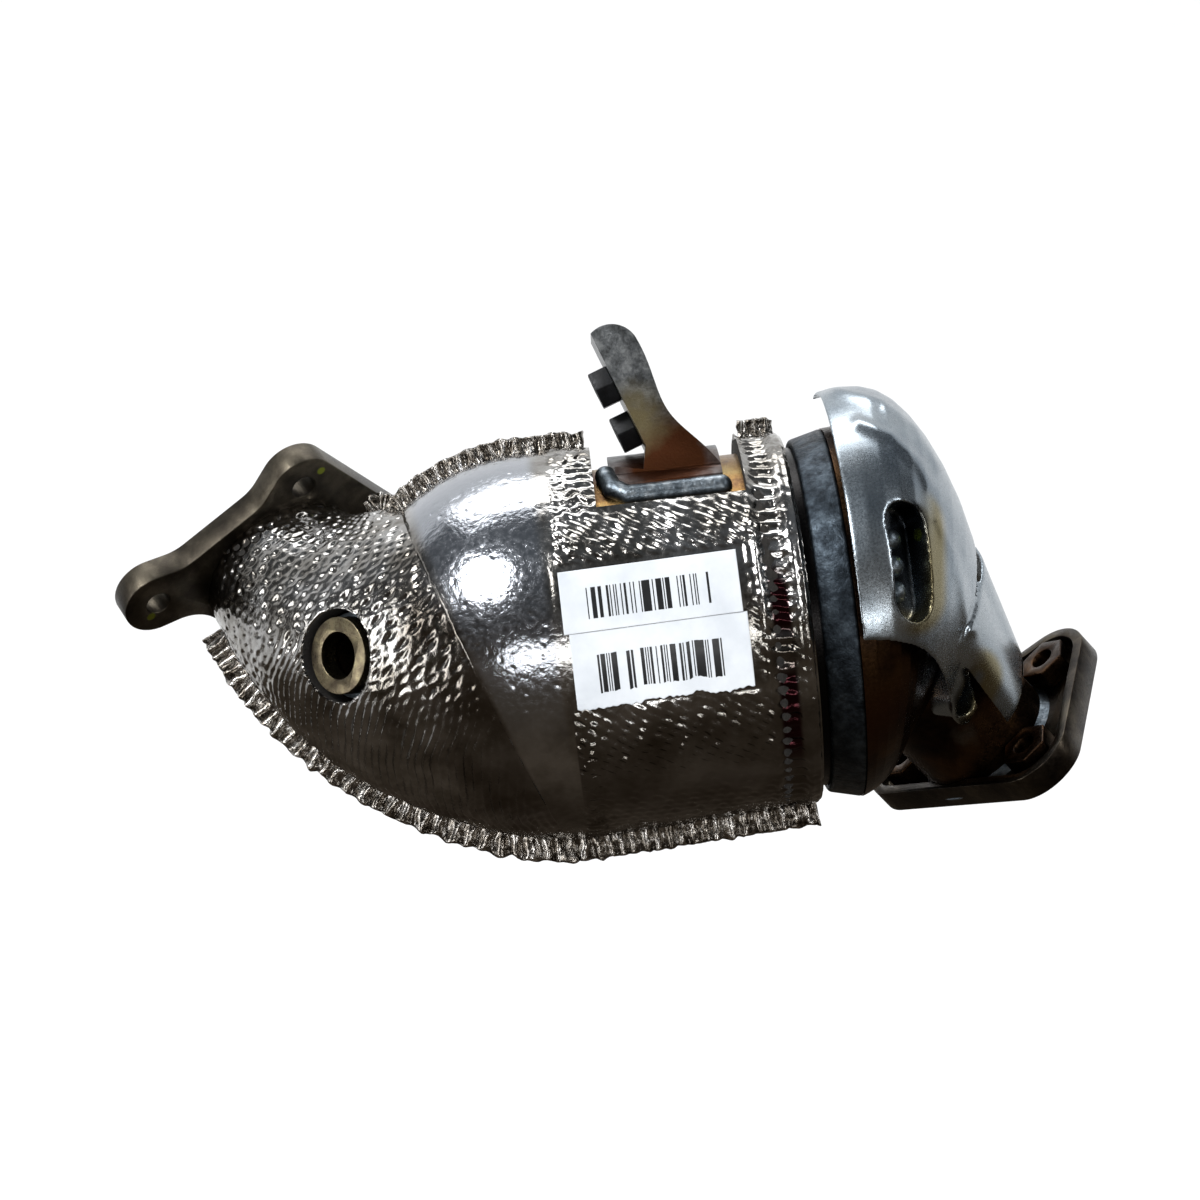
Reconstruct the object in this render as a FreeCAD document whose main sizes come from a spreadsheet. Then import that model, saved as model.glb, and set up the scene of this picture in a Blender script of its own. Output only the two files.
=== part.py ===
import FreeCAD
import Part
import math
import os
import random
from FreeCAD import Placement, Rotation, Vector

# Close-coupled catalytic converter. The origin is the centre of the inlet flange's mating face,
# +X runs along the can axis towards the outlet and +Z is up. Front is the -Y side.

doc = FreeCAD.newDocument("CatalyticConverter")
sheet = doc.addObject("Spreadsheet::Sheet", "Sizes")

SIZES = {
    # inlet flange: three holes round the port, given across and along the flange
    "flange_thickness": 10.0,
    "near_holes_row": 30.0,
    "left_hole_across": 42.0,
    "right_hole_across": 26.0,
    "far_hole_row": 32.0,
    "far_hole_across": 38.0,
    "flange_hole_diameter": 9.0,
    "flange_ear_radius": 13.0,
    "flange_hub_radius": 31.0,
    "flange_waist_radius": 16.0,
    # inlet axis, and where the can lies from the inlet
    "inlet_angle": 64.4,
    "inlet_clock": 50.0,
    "can_ahead": 118.3,
    "can_to_front": 46.0,
    "can_below": 46.0,
    # inlet pipe and the horn that opens it to the can
    "inlet_pipe_radius": 23.5,
    "horn_handle": 46.0,
    "mouth_lean": 20.5,
    "mouth_depth": 21.6,
    "mouth_ledge": 0.4,
    "horn_swell": 1.3,
    "horn_belly": 2.2,
    "horn_belly_power": 2.8,
    "cone_wall": 1.5,
    "cone_lap": 8.0,
    "flange_weld_bead": 2.2,
    # can and what it holds
    "can_start": -12.0,
    "dome_setback": 10.0,
    "can_radius": 61.0,
    "can_wall": 1.5,
    "can_length": 99.0,
    "support_mat_thickness": 4.0,
    "brick_front_length": 36.0,
    "brick_rear_length": 36.0,
    "brick_gap": 8.0,
    # insulation and foil
    "elbow_insulation": 7.5,
    "can_insulation": 8.0,
    "mat_joint_setback": 1.8,
    "mat_joint_gap": 0.2,
    "foil_wall": 0.6,
    "foil_taper": 3.5,
    "foil_end_setback": 15.0,
    "pinch_width": 9.0,
    "pinch_depth": 1.6,
    "pinch_setback": 3.0,
    "seam_width": 7.5,
    "low_seam_width": 10.5,
    "seam_pitch": 5.0,
    "seam_wave": 1.3,
    "seam_play": 0.03,
    # bracket
    "window_start": 4.0,
    "window_length": 52.0,
    "window_front_height": 46.0,
    "bracket_plate": 4.0,
    "bracket_bead": 3.8,
    "bracket_nut_width": 13.0,
    "bracket_nut_height": 7.0,
    "bracket_nut_bore": 6.8,
    "bracket_screw_hole": 9.0,
    # sensor boss
    "boss_radius": 13.5,
    "boss_thread_radius": 8.25,
    "boss_weld_bead": 1.6,
    "boss_opening_radius": 16.5,
    # outlet
    "band_length": 12.0,
    "band_flare": 5.5,
    "outlet_pipe_radius": 25.5,
    "outlet_pipe_wall": 1.8,
    "outlet_pipe_length": 47.0,
    "outlet_tilt": 51.6,
    "outlet_swing": 20.5,
    "outlet_reach": 32.5,
    "outlet_drop": 31.0,
    "outlet_side": 11.9,
    "outlet_flange_plate": 4.0,
    "outlet_flange_rim": 10.0,
    "outlet_bolt_circle": 71.0,
    "outlet_ear_radius": 16.5,
    "outlet_hole_diameter": 11.0,
    "outlet_nut_width": 17.0,
    "outlet_nut_height": 8.0,
    "outlet_nut_bore": 8.5,
    "outlet_weld_bead": 2.4,
    # heat shield
    "shield_gap": 12.0,
    "shield_sheet": 1.0,
    "pocket_width": 18.0,
    "pocket_length": 43.0,
    "low_pocket_width": 12.0,
    "low_pocket_length": 22.0,
    "plug_radius": 4.0,
    # labels
    "label_length": 60.0,
    "label_thickness": 0.2,
}

for line, (alias, number) in enumerate(SIZES.items(), start=1):
    sheet.set("A%d" % line, alias)
    sheet.set("B%d" % line, str(number))
    sheet.setAlias("B%d" % line, alias)
doc.recompute()


def size(alias):
    return float(getattr(sheet, alias))


# ---- frame shared by every piece ----

inlet_turn = math.radians(size("inlet_angle"))
inlet_clock = math.radians(size("inlet_clock"))
towards_can = Vector(0, -math.cos(inlet_clock), -math.sin(inlet_clock))
can_axis = Vector(1, 0, 0)
inlet_axis = can_axis * math.cos(inlet_turn) + towards_can * math.sin(inlet_turn)


def at_can(x, y, z):
    """Point given from the can axis, x measured from the can's datum plane."""
    return Vector(size("can_ahead") + x, y - size("can_to_front"), z - size("can_below"))


horn_start = inlet_axis * size("flange_thickness")
horn_handle = horn_start + inlet_axis * size("horn_handle")
foil_radius = size("can_radius") + size("can_insulation") + size("foil_wall")
dome_centre = at_can(size("can_start") - size("dome_setback"), 0, 0)
mouth_lean = math.radians(size("mouth_lean"))
mouth_axis = Vector(math.cos(mouth_lean), 0, math.sin(mouth_lean))
mouth = dome_centre - mouth_axis * size("mouth_depth")
mouth_radius = math.sqrt(foil_radius ** 2 - size("mouth_depth") ** 2)


def on_horn(share):
    """Point of the inlet's centreline, a parabola from the flange to the dome's mouth."""
    back = 1 - share
    return horn_start * back ** 2 + horn_handle * (2 * share * back) + mouth * share ** 2


def seam_way(direction):
    """Direction, square to both the duct and the view from the front, in which the upper seam lies."""
    return direction.cross(Vector(0, 1, 0)).normalize()


def facing(origin, direction, across=None):
    """Placement whose Z axis looks along direction."""
    z_axis = Vector(direction).normalize()
    hint = across or (Vector(0, 0, 1) if abs(z_axis.z) < 0.9 else Vector(1, 0, 0))
    x_axis = (hint - z_axis * hint.dot(z_axis)).normalize()
    return Placement(origin, Rotation(x_axis, z_axis.cross(x_axis), z_axis, "ZXY"))


def ring(radius, centre, direction, across):
    circle = Part.makeCircle(radius)
    circle.Placement = facing(centre, direction, across)
    return Part.Wire(circle)


# ---- document helpers ----

pieces = []


def primitive(kind, name, sizes, placement=None):
    """Part primitive whose sizes follow the sheet."""
    item = doc.addObject(kind, name)
    for key, expression in sizes.items():
        item.setExpression(key, expression)
    if placement:
        item.Placement = placement
    return item


def keep(item, name):
    item.Label = name
    pieces.append(item)
    return item


def cut(name, base, tool):
    item = doc.addObject("Part::Cut", name)
    item.Base = base
    item.Tool = tool
    return item


def feature(name, shape):
    """Piece whose form has no primitive: its shape comes from Part's own functions."""
    item = doc.addObject("Part::Feature", name)
    item.Shape = shape
    return keep(item, name)


def tube(name, outer, inner, length, placement):
    """Round tube with both radii and its length given as expressions."""
    wall = primitive("Part::Cylinder", name + "_outer", {"Radius": outer, "Height": length}, placement)
    hole = primitive("Part::Cylinder", name + "_inner", {"Radius": inner, "Height": length}, placement)
    return keep(cut(name, wall, hole), name)


# ---- insulated form: dome, can and swelling elbow ----

can_start = size("can_start")
can_end = can_start + size("can_length")
foil_end = can_end - size("foil_end_setback")
horn_start_radius = size("inlet_pipe_radius") + size("elbow_insulation") + size("foil_wall")


def dome_and_can(shrink, pinched=True):
    """Turned form of the dome and can, smaller by shrink than the foil's outer face."""
    big = foil_radius - shrink
    small = big - size("foil_taper")
    centre = can_start - size("dome_setback")
    right = foil_end - (shrink if pinched else 0)
    pinch_end = foil_end - size("pinch_setback")
    pinch_start = pinch_end - size("pinch_width")
    slope = size("foil_taper") / (foil_end - can_start)

    def side(x):
        return big - slope * max(0, x - can_start)

    pole = Vector(centre - big, 0, 0)
    at = Vector(centre, 0, big)
    edges = [Part.Arc(pole, Vector(centre - big * math.sqrt(0.5), 0, big * math.sqrt(0.5)), at).toShape()]
    stops = [Vector(can_start, 0, big)]
    if pinched:
        stops.append(Vector(pinch_start, 0, side(pinch_start)))
    for stop in stops:
        edges.append(Part.makeLine(at, stop))
        at = stop
    if pinched:
        third = size("pinch_width") / 3
        low = side(pinch_start) - size("pinch_depth")
        stops = [Vector(pinch_start + third, 0, low), Vector(pinch_end - third, 0, low)]
        for stop in stops + [Vector(pinch_end, 0, side(pinch_end))]:
            edges.append(Part.makeLine(at, stop))
            at = stop
    for stop in (Vector(right, 0, small), Vector(right, 0, 0), pole):
        edges.append(Part.makeLine(at, stop))
        at = stop
    solid = Part.Face(Part.Wire(edges)).revolve(Vector(), Vector(1, 0, 0), 360)
    solid.translate(at_can(0, 0, 0))
    beyond = Part.makeBox(200, 400, 400, Vector(-200, -200, -200))
    beyond.Placement = Placement(mouth, facing(mouth, mouth_axis).Rotation.multiply(Rotation(Vector(0, 1, 0), -90)))
    return solid.cut(beyond)


def horn_ring(share, shrink, end_radius):
    """Centre, direction and radius of the horn's section; its belly grows away from the upper seam."""
    direction = (inlet_axis * (1 - share) + mouth_axis * share).normalize()
    full = share ** size("horn_belly_power")
    belly = size("horn_belly") * 4 * full * (1 - full)
    start_radius = horn_start_radius - shrink
    radius = start_radius + (end_radius - start_radius) * share ** size("horn_swell") + belly
    return on_horn(share) - seam_way(direction) * belly, direction, radius


def horn(shrink, dome_shrink, overrun=0.0):
    """Horn from the inlet flange's back face, swelling to just inside the dome's mouth."""
    across = Vector(0, 1, 0)
    dome_circle = math.sqrt((foil_radius - dome_shrink) ** 2 - size("mouth_depth") ** 2)
    end_radius = dome_circle - size("mouth_ledge")
    rings = []
    if overrun:
        rings.append(ring(horn_start_radius - shrink, horn_start - inlet_axis * overrun, inlet_axis, across))
    for step in range(9):
        centre, direction, radius = horn_ring(step / 8, shrink, end_radius)
        rings.append(ring(radius, centre, direction, across))
    rings.append(ring(end_radius, mouth + mouth_axis * 4, mouth_axis, across))
    return Part.makeLoft(rings, True, True)


def insulated_form(shrink, overrun=0.0, pinched=True):
    return dome_and_can(shrink, pinched).fuse(horn(shrink, shrink, overrun))


far = 400.0
split_lines = [(horn_start - inlet_axis * 60, inlet_axis, horn_start_radius)]
for step in range(9):
    split_lines.append(horn_ring(step / 8, 0, mouth_radius))
for x in (can_start, can_end + 60):
    split_lines.append((at_can(x, 0, 0), can_axis, foil_radius))
split_ends = []
for centre, direction, radius in split_lines:
    half = seam_way(direction) * (radius + 3)
    split_ends.append((centre - half, centre + half))
front_parts = []
for (low, high), (next_low, next_high) in zip(split_ends, split_ends[1:]):
    strip = Part.makeRuledSurface(Part.makeLine(low, high), Part.makeLine(next_low, next_high))
    front_parts.append(Part.makeSolid(strip.extrude(Vector(0, -far, 0))))
front_side = front_parts[0].multiFuse(front_parts[1:])


# ---- outlines of tangent arcs ----

def tangent_loop(nodes):
    """Closed outline of arcs and their tangent lines; a node is (centre, radius, turning sign)."""
    count = len(nodes)
    joins = []
    for index in range(count):
        (first, radius_1, sign_1), (second, radius_2, sign_2) = nodes[index], nodes[(index + 1) % count]
        along = second - first
        span = along.Length
        along.normalize()
        sine = (sign_1 * radius_1 - sign_2 * radius_2) / span
        normal = Vector(along.y, -along.x, 0) * math.sqrt(1 - sine * sine) + along * sine
        joins.append((first + normal * (sign_1 * radius_1), second + normal * (sign_2 * radius_2)))
    curves = []
    for index in range(count):
        centre, radius, sign = nodes[index]
        entry = joins[index - 1][1] - centre
        leave = joins[index][0] - centre
        begin = math.atan2(entry.y, entry.x)
        end = math.atan2(leave.y, leave.x)
        if sign < 0:
            begin, end = end, begin
        if end < begin:
            end += 2 * math.pi
        curves.append(Part.ArcOfCircle(Part.Circle(centre, Vector(0, 0, 1), radius), begin, end))
        curves.append(Part.LineSegment(joins[index][0], joins[index][1]))
    return curves


def origin_plane(owner, role):
    return [item for item in owner.Origin.OriginFeatures if item.Role == role][0]


def flat_sketch(owner, name, curves):
    sketch = owner.newObject("Sketcher::SketchObject", name)
    sketch.AttachmentSupport = (origin_plane(owner, "XY_Plane"), [""])
    sketch.MapMode = "FlatFace"
    sketch.addGeometry(curves, False)
    return sketch


def circle_at(centre, radius):
    return Part.Circle(centre, Vector(0, 0, 1), radius)


def pad(owner, name, curves, length):
    item = owner.newObject("PartDesign::Pad", name)
    item.Profile = flat_sketch(owner, name + "_sketch", curves)
    item.setExpression("Length", length)
    return item


def pocket(owner, name, curves, length, offset=None):
    """Pocket into the pad above the XY plane, starting offset above it."""
    item = owner.newObject("PartDesign::Pocket", name)
    sketch = flat_sketch(owner, name + "_sketch", curves)
    if offset:
        sketch.setExpression("AttachmentOffset.Base.z", offset)
    item.Profile = sketch
    item.Reversed = True
    item.setExpression("Length", length)
    return item


# ---- inlet flange ----

ear = size("flange_ear_radius")
left_hole = Vector(-size("left_hole_across"), -size("near_holes_row"), 0)
right_hole = Vector(size("right_hole_across"), -size("near_holes_row"), 0)
far_hole = Vector(size("far_hole_across"), size("far_hole_row"), 0)
flange_holes = [left_hole, right_hole, far_hole]
waist = size("flange_waist_radius")
near_edge = -size("near_holes_row") - ear + 7 - waist
reach = math.sqrt((ear + waist) ** 2 - (near_edge + size("near_holes_row")) ** 2) + 1.5
hub = size("flange_hub_radius")


def waist_between(first, first_radius, second, second_radius, side):
    """Centre of the hollow that touches two rounds from outside, a little apart from both."""
    line = second - first
    span = line.Length
    line.normalize()
    near = first_radius + waist + 0.6
    other = second_radius + waist + 0.6
    along = (span * span + near * near - other * other) / (2 * span)
    return first + line * along + Vector(line.y, -line.x, 0) * (side * math.sqrt(near * near - along * along))


hub_centre = Vector()
inlet_outline = [
    (left_hole, ear, 1),
    (Vector(left_hole.x + reach, near_edge, 0), waist, -1),
    (Vector(right_hole.x - reach, near_edge, 0), waist, -1),
    (right_hole, ear, 1),
    (far_hole, ear, 1),
    (waist_between(far_hole, ear, hub_centre, hub, 1), waist, -1),
    (hub_centre, hub, 1),
    (waist_between(hub_centre, hub, left_hole, ear, 1), waist, -1),
]
flange_across = Vector(-inlet_axis.z, 0, inlet_axis.x).normalize()
flange_place = facing(inlet_axis * size("flange_thickness"), inlet_axis * -1, flange_across)
inlet_flange = doc.addObject("PartDesign::Body", "inlet_flange")
inlet_flange.Placement = flange_place
port_radius = size("inlet_pipe_radius") - size("cone_wall")
inlet_holes = [circle_at(hole, size("flange_hole_diameter") / 2) for hole in flange_holes]
inlet_holes.append(circle_at(Vector(), port_radius))
pad(inlet_flange, "flange_plate", tangent_loop(inlet_outline), "Sizes.flange_thickness")
pocket(inlet_flange, "flange_holes", inlet_holes, "Sizes.flange_thickness")
keep(inlet_flange, "inlet_flange")


# ---- inner cone: two stamped halves round the elbow and dome ----

cone_shrink = foil_radius - size("can_radius") + size("can_wall")
pipe_shrink = size("elbow_insulation") + size("foil_wall")


def gas_form(extra, overrun=0.0):
    """Form of the stamped inlet cone: the dome sits inside the can's wall."""
    return dome_and_can(cone_shrink + extra, False).fuse(horn(pipe_shrink + extra, cone_shrink + extra, overrun))


boss_out = Vector(-0.65, -0.75, 0.05).normalize()
boss_face = at_can(-91.0, -35.5, 5.5)
boss_length = 34.0
boss_foot = boss_face - boss_out * boss_length
boss_cylinder = Part.makeCylinder(size("boss_radius"), boss_length, boss_foot, boss_out)
boss_bore = Part.makeCylinder(size("boss_thread_radius"), 2 * boss_length, boss_foot, boss_out)
boss_gap = Part.makeCylinder(size("boss_opening_radius"), 2 * boss_length, boss_foot, boss_out)
gas_outside = gas_form(0)
cone_limit = Part.makeBox(far, far, far, at_can(can_start + size("cone_lap"), -far / 2, -far / 2))
cone_wall = gas_outside.cut(gas_form(size("cone_wall"), 5)).cut(cone_limit).cut(boss_bore)
feature("inner_cone_front", cone_wall.common(front_side))
feature("inner_cone_rear", cone_wall.cut(front_side))

# ---- can and what it holds ----

can_base = facing(at_can(can_start, 0, 0), can_axis)
tube("can_shell", "Sizes.can_radius", "Sizes.can_radius - Sizes.can_wall", "Sizes.can_length", can_base)

brick_start = can_start + size("cone_lap") + 2
brick_radius = "Sizes.can_radius - Sizes.can_wall - Sizes.support_mat_thickness"
brick_places = {
    "front": (brick_start, "Sizes.brick_front_length"),
    "rear": (brick_start + size("brick_front_length") + size("brick_gap"), "Sizes.brick_rear_length"),
}
for end, (x, length) in brick_places.items():
    place = facing(at_can(x, 0, 0), can_axis)
    name = "catalyst_brick_" + end
    keep(primitive("Part::Cylinder", name, {"Radius": brick_radius, "Height": length}, place), name)
    tube("support_mat_" + end, "Sizes.can_radius - Sizes.can_wall", brick_radius, length, place)

# ---- window in the insulation for the bracket ----

window = Part.makeBox(size("window_length"), 110, 60)
window.translate(at_can(size("window_start"), -65, size("window_front_height")))

# ---- sensor boss on the elbow ----

boss = boss_cylinder.cut(boss_bore).cut(gas_outside)
feature("sensor_boss", min(boss.Solids, key=lambda solid: solid.CenterOfMass.distanceToPoint(boss_face)))
bead_tube = Part.makeCylinder(size("boss_radius") + size("boss_weld_bead"), boss_length, boss_foot, boss_out)
boss_bead = gas_form(-size("boss_weld_bead")).cut(gas_outside).common(bead_tube.cut(boss_cylinder))
feature("sensor_boss_weld", max(boss_bead.Solids, key=lambda solid: solid.Volume))

# ---- insulation mats ----

can_core = Part.makeCylinder(size("can_radius"), 2 * far, at_can(can_start, 0, 0), can_axis)
pipe_radius = size("inlet_pipe_radius")
flange_bead = size("flange_weld_bead")
pipe_bead = Part.makeCone(pipe_radius + flange_bead, pipe_radius, flange_bead, horn_start, inlet_axis)
# the elbow's mats butt against the dome's just before the mouth
joint_foot = mouth - mouth_axis * size("mat_joint_setback")
mat_joint = Part.makeCylinder(far / 2, size("mat_joint_gap"), joint_foot, mouth_axis)
mat = insulated_form(size("foil_wall"), 0).cut(gas_form(0, 5)).cut(can_core).cut(window)
mat = mat.cut(boss_gap).cut(pipe_bead).cut(mat_joint)
feature("insulation_front", mat.common(front_side))
feature("insulation_rear", mat.cut(front_side))
feature("inlet_flange_weld", pipe_bead.cut(gas_outside))

# ---- foil shell with its crimped and pleated seam ----

outer_form = insulated_form(0)
foil = outer_form.cut(insulated_form(size("foil_wall"), 5)).cut(can_core).cut(window).cut(boss_gap)


def foil_side(x):
    """Outer radius of the foil along the can, and how its profile leans there."""
    if x < can_start - size("dome_setback"):
        back = can_start - size("dome_setback") - x
        return math.sqrt(foil_radius ** 2 - back ** 2), back / foil_radius
    return foil_radius - size("foil_taper") * max(0, x - can_start) / (foil_end - can_start), 0.0


def seam_line(side):
    """Points of one seam and the way it stands out; side 1 is the upper seam and -1 the lower one."""
    line = []
    for step in range(401):
        centre, direction, radius = horn_ring(step / 400, 0, mouth_radius - size("mouth_ledge"))
        outward = seam_way(direction) * side
        line.append((centre + outward * radius, outward))
    edge = mouth + seam_way(mouth_axis) * (side * mouth_radius)
    x = edge.x - size("can_ahead")
    while x < foil_end - 0.5:
        radius, leaning = foil_side(x)
        outward = Vector(-leaning, 0, side * math.sqrt(1 - leaning * leaning))
        line.append((at_can(x, 0, side * radius), outward))
        x += 0.25
    return line


def seam_runs():
    """Stretches of hem as evenly spaced points, clear of the flange and of the bracket's window."""
    window_end = size("window_start") + size("window_length")
    found = []
    for side in (1, -1):
        run = []
        for point, outward in seam_line(side):
            x = point.x - size("can_ahead")
            in_window = side > 0 and size("window_start") - 1 < x < window_end + 1
            if point.dot(inlet_axis) < size("flange_thickness") + 1.5:
                continue
            if in_window:
                if len(run) > 4:
                    found.append(run)
                run = []
            elif not run or (point - run[-1][0]).Length >= size("seam_pitch") / 2:
                run.append((point, outward, side))
        found.append(run)
    return found


def pleated_strip(run, chance, layer):
    """Pleated hem standing out from the seam; layer 0 faces the front and 1 the rear."""
    wall, seam_play = size("foil_wall"), size("seam_play")
    sideways = Vector(0, 1, 0)
    rows = []
    for index, (point, outward, side) in enumerate(run):
        wave = size("seam_wave") * (1 if index % 2 else -1) * (0.6 + 0.6 * chance[index % len(chance)])
        width = size("seam_width") if side > 0 else size("low_seam_width")
        tall = width * (0.86 + 0.2 * chance[(index * 7) % len(chance)])
        foot = point + outward * seam_play
        top = point + outward * tall
        shift = (wall + seam_play) * (layer - 1) + seam_play / 2
        rows.append([foot + sideways * shift, foot + sideways * (shift + wall),
                     top + sideways * (shift + wall + wave), top + sideways * (shift + wave)])
    faces = []
    for index in range(len(rows) - 1):
        first, second = rows[index], rows[index + 1]
        for side in range(4):
            following = (side + 1) % 4
            corners = (first[side], second[side], second[following], first[following])
            # both walls fold along the same diagonal, so that the pleats of the two halves nest
            for triangle in ((0, 1, 3), (1, 2, 3)) if side == 3 else ((0, 1, 2), (0, 2, 3)):
                faces.append(Part.Face(Part.makePolygon([corners[k] for k in triangle + triangle[:1]])))
    for cap in (rows[0], rows[-1]):
        faces.append(Part.Face(Part.makePolygon([cap[0], cap[1], cap[2], cap[0]])))
        faces.append(Part.Face(Part.makePolygon([cap[0], cap[2], cap[3], cap[0]])))
    solid = Part.Solid(Part.Shell(faces))
    if solid.Volume < 0:
        solid.reverse()
    return solid


dice = random.Random(11)
chance = [dice.random() for _ in range(41)]
runs = seam_runs()
for layer, (name, half) in enumerate((("front", foil.common(front_side)), ("rear", foil.cut(front_side)))):
    strips = [pleated_strip(run, chance, layer) for run in runs]
    feature("foil_shell_" + name, Part.makeCompound(half.Solids + strips))

# ---- outlet cone, pipe and flange ----

outlet_start = can_end
tilt = math.radians(size("outlet_tilt"))
swing = math.radians(size("outlet_swing"))
outlet_axis = Vector(math.cos(tilt) * math.cos(swing), math.sin(swing), -math.sin(tilt) * math.cos(swing))
cone_foot = at_can(outlet_start, 0, 0)
cone_mouth = cone_foot + Vector(size("outlet_reach"), size("outlet_side"), -size("outlet_drop"))
tilt_normal = Vector(0, 1, 0)

# the cone's sections: how far out, aside and down their centres lie, their radii and their lean
CONE_SECTIONS = (
    (0.0, 0.0, 0.0, 1.0, 0.0),
    (13.0, 0.5, 0.7, 0.955, 5.4),
    (22.0, 2.5, -5.0, 0.782, 11.1),
    (27.0, 8.0, -20.5, 0.47, 24.5),
)
section_numbers = [float(number) for number in range(len(CONE_SECTIONS))]
section_centres = Part.BSplineCurve()
centre_points = [Vector(*section[:3]) for section in CONE_SECTIONS]
section_centres.interpolate(Points=centre_points, Parameters=section_numbers)
section_shapes = Part.BSplineCurve()
section_shapes.interpolate(Points=[Vector(share, lean, 0) for *_, share, lean in CONE_SECTIONS],
                           Parameters=section_numbers)


def outlet_form(grow, before=0.0, tongue=False, wall=0.0):
    """Skewed dome closing the can down towards the outlet pipe."""
    big = size("can_radius") + size("band_flare")
    rings = []
    if before:
        rings.append(ring(big + grow + wall, cone_foot - can_axis * before, can_axis, tilt_normal))
    for step in range(10):
        place = section_centres.value(step / 3)
        share, lean, _ = section_shapes.value(step / 3)
        angle = math.radians(lean)
        side = swing * lean / size("outlet_tilt")
        direction = Vector(math.cos(angle) * math.cos(side), math.sin(side), -math.sin(angle) * math.cos(side))
        wider = wall + (grow * (1 + lean / 48) if tongue else grow)
        if step == 9 and not tongue:
            place = place + direction * grow
        rings.append(ring(big * share + wider, cone_foot + place, direction, tilt_normal))
    if tongue:
        centre = cone_mouth + outlet_axis * 18
        rings.append(ring(size("outlet_pipe_radius") + grow * 0.25 + wall, centre, outlet_axis, tilt_normal))
    return Part.makeLoft(rings, True, True)


cone_hole = Part.makeCylinder(size("outlet_pipe_radius"), 40, cone_mouth - outlet_axis * 20, outlet_axis)
outlet_cup = outlet_form(0).cut(outlet_form(-size("outlet_pipe_wall"), 5))
feature("outlet_cone", outlet_cup.cut(cone_hole))
outlet_place = facing(cone_mouth - outlet_axis * 12, outlet_axis)
tube("outlet_pipe", "Sizes.outlet_pipe_radius", "Sizes.outlet_pipe_radius - Sizes.outlet_pipe_wall",
     "Sizes.outlet_pipe_length", outlet_place)

# ---- lap band where the outlet cone joins the can ----

band_start = can_end - size("band_length")
band_wall = Part.makeCone(size("can_radius") + 2.5, size("can_radius") + size("band_flare"), size("band_length"),
                          at_can(band_start, 0, 0), can_axis)
feature("can_band", band_wall.cut(can_core))

# ---- outlet flange: pressed tray with its rim turned to the cat ----

bolt_circle = size("outlet_bolt_circle") / 2
ear_angles = (-80.0, 2.0, 136.0)
outlet_holes = [Vector(bolt_circle * math.cos(math.radians(a)), bolt_circle * math.sin(math.radians(a)), 0)
                for a in ear_angles]
outlet_ear = size("outlet_ear_radius")
tray_outer = tangent_loop([(hole, outlet_ear, 1) for hole in outlet_holes])
tray_inner = tangent_loop([(hole, outlet_ear - size("outlet_flange_plate"), 1) for hole in outlet_holes])
tray_across = Vector(-outlet_axis.z, 0, outlet_axis.x).normalize()
tray_back = outlet_place.multVec(Vector(0, 0, size("outlet_pipe_length")))
tray_place = facing(tray_back, outlet_axis * -1, tray_across)
outlet_flange = doc.addObject("PartDesign::Body", "outlet_flange")
outlet_flange.Placement = tray_place
pad(outlet_flange, "tray", tray_outer, "Sizes.outlet_flange_rim")
pocket(outlet_flange, "tray_hollow", tray_inner, "Sizes.outlet_flange_rim", "Sizes.outlet_flange_plate")
tray_holes = [circle_at(hole, size("outlet_hole_diameter") / 2) for hole in outlet_holes]
tray_holes.append(circle_at(Vector(), size("outlet_pipe_radius")))
pocket(outlet_flange, "tray_holes", tray_holes, "Sizes.outlet_flange_rim")
keep(outlet_flange, "outlet_flange")


def nut(name, width, height, bore, place):
    """Hexagonal weld nut."""
    block = primitive("Part::Prism", name + "_block", {"Circumradius": width + " / 2 / cos(30 deg)",
                                                      "Height": height}, place)
    block.Polygon = 6
    hole = primitive("Part::Cylinder", name + "_hole", {"Radius": bore + " / 2", "Height": height}, place)
    return cut(name, block, hole)


def group(name, items):
    fusion = doc.addObject("Part::Compound", name)
    fusion.Links = items
    return keep(fusion, name)


outlet_nuts = []
for number, hole in enumerate(outlet_holes, start=1):
    seat = tray_place.multVec(hole + Vector(0, 0, size("outlet_flange_plate")))
    outlet_nuts.append(nut("outlet_weld_nut_%d" % number, "Sizes.outlet_nut_width", "Sizes.outlet_nut_height",
                           "Sizes.outlet_nut_bore", facing(seat, outlet_axis * -1, tray_across)))
group("outlet_weld_nuts", outlet_nuts)

# ---- bracket: web with two nuts, front gusset and foot ----

plate = size("bracket_plate")
web_top = Vector(9, 0, 107)
web_bend = Vector(23.7, 0, 66)
web_foot = Vector(22, 0, 58)
gusset_y = -31.0
web_depth = 36.0
left_edge = [web_top, web_bend, web_foot]
web_wire = [v for v in left_edge] + [v + Vector(plate, 0, 0) for v in reversed(left_edge)]
web = Part.Face(Part.makePolygon(web_wire + web_wire[:1])).extrude(Vector(0, web_depth, 0))
right_edge = Part.BSplineCurve()
right_points = ((25, 103), (28.5, 92), (33, 77), (42, 66), (49, 57))
right_edge.interpolate([Vector(x, 0, z) for x, z in right_points])
crown = Part.Arc(web_top, Vector(19, 0, 109), Vector(25, 0, 103)).toShape()
gusset_edges = [crown, right_edge.toShape(), Part.makeLine(Vector(49, 0, 57), Vector(49, 0, 40)),
                Part.makeLine(Vector(49, 0, 40), Vector(12, 0, 40)), Part.makeLine(Vector(12, 0, 40), Vector(12, 0, 60)),
                Part.makeLine(Vector(12, 0, 60), web_foot), Part.makeLine(web_foot, web_bend),
                Part.makeLine(web_bend, web_top)]
gusset = Part.Face(Part.Wire(gusset_edges)).extrude(Vector(0, plate, 0))
bracket = web.fuse(gusset).removeSplitter()
bracket.translate(at_can(0, gusset_y, 0))
foot_ring = Part.makeCylinder(size("can_radius") + plate, 39, at_can(10, 0, 0), can_axis).cut(can_core)
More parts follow.
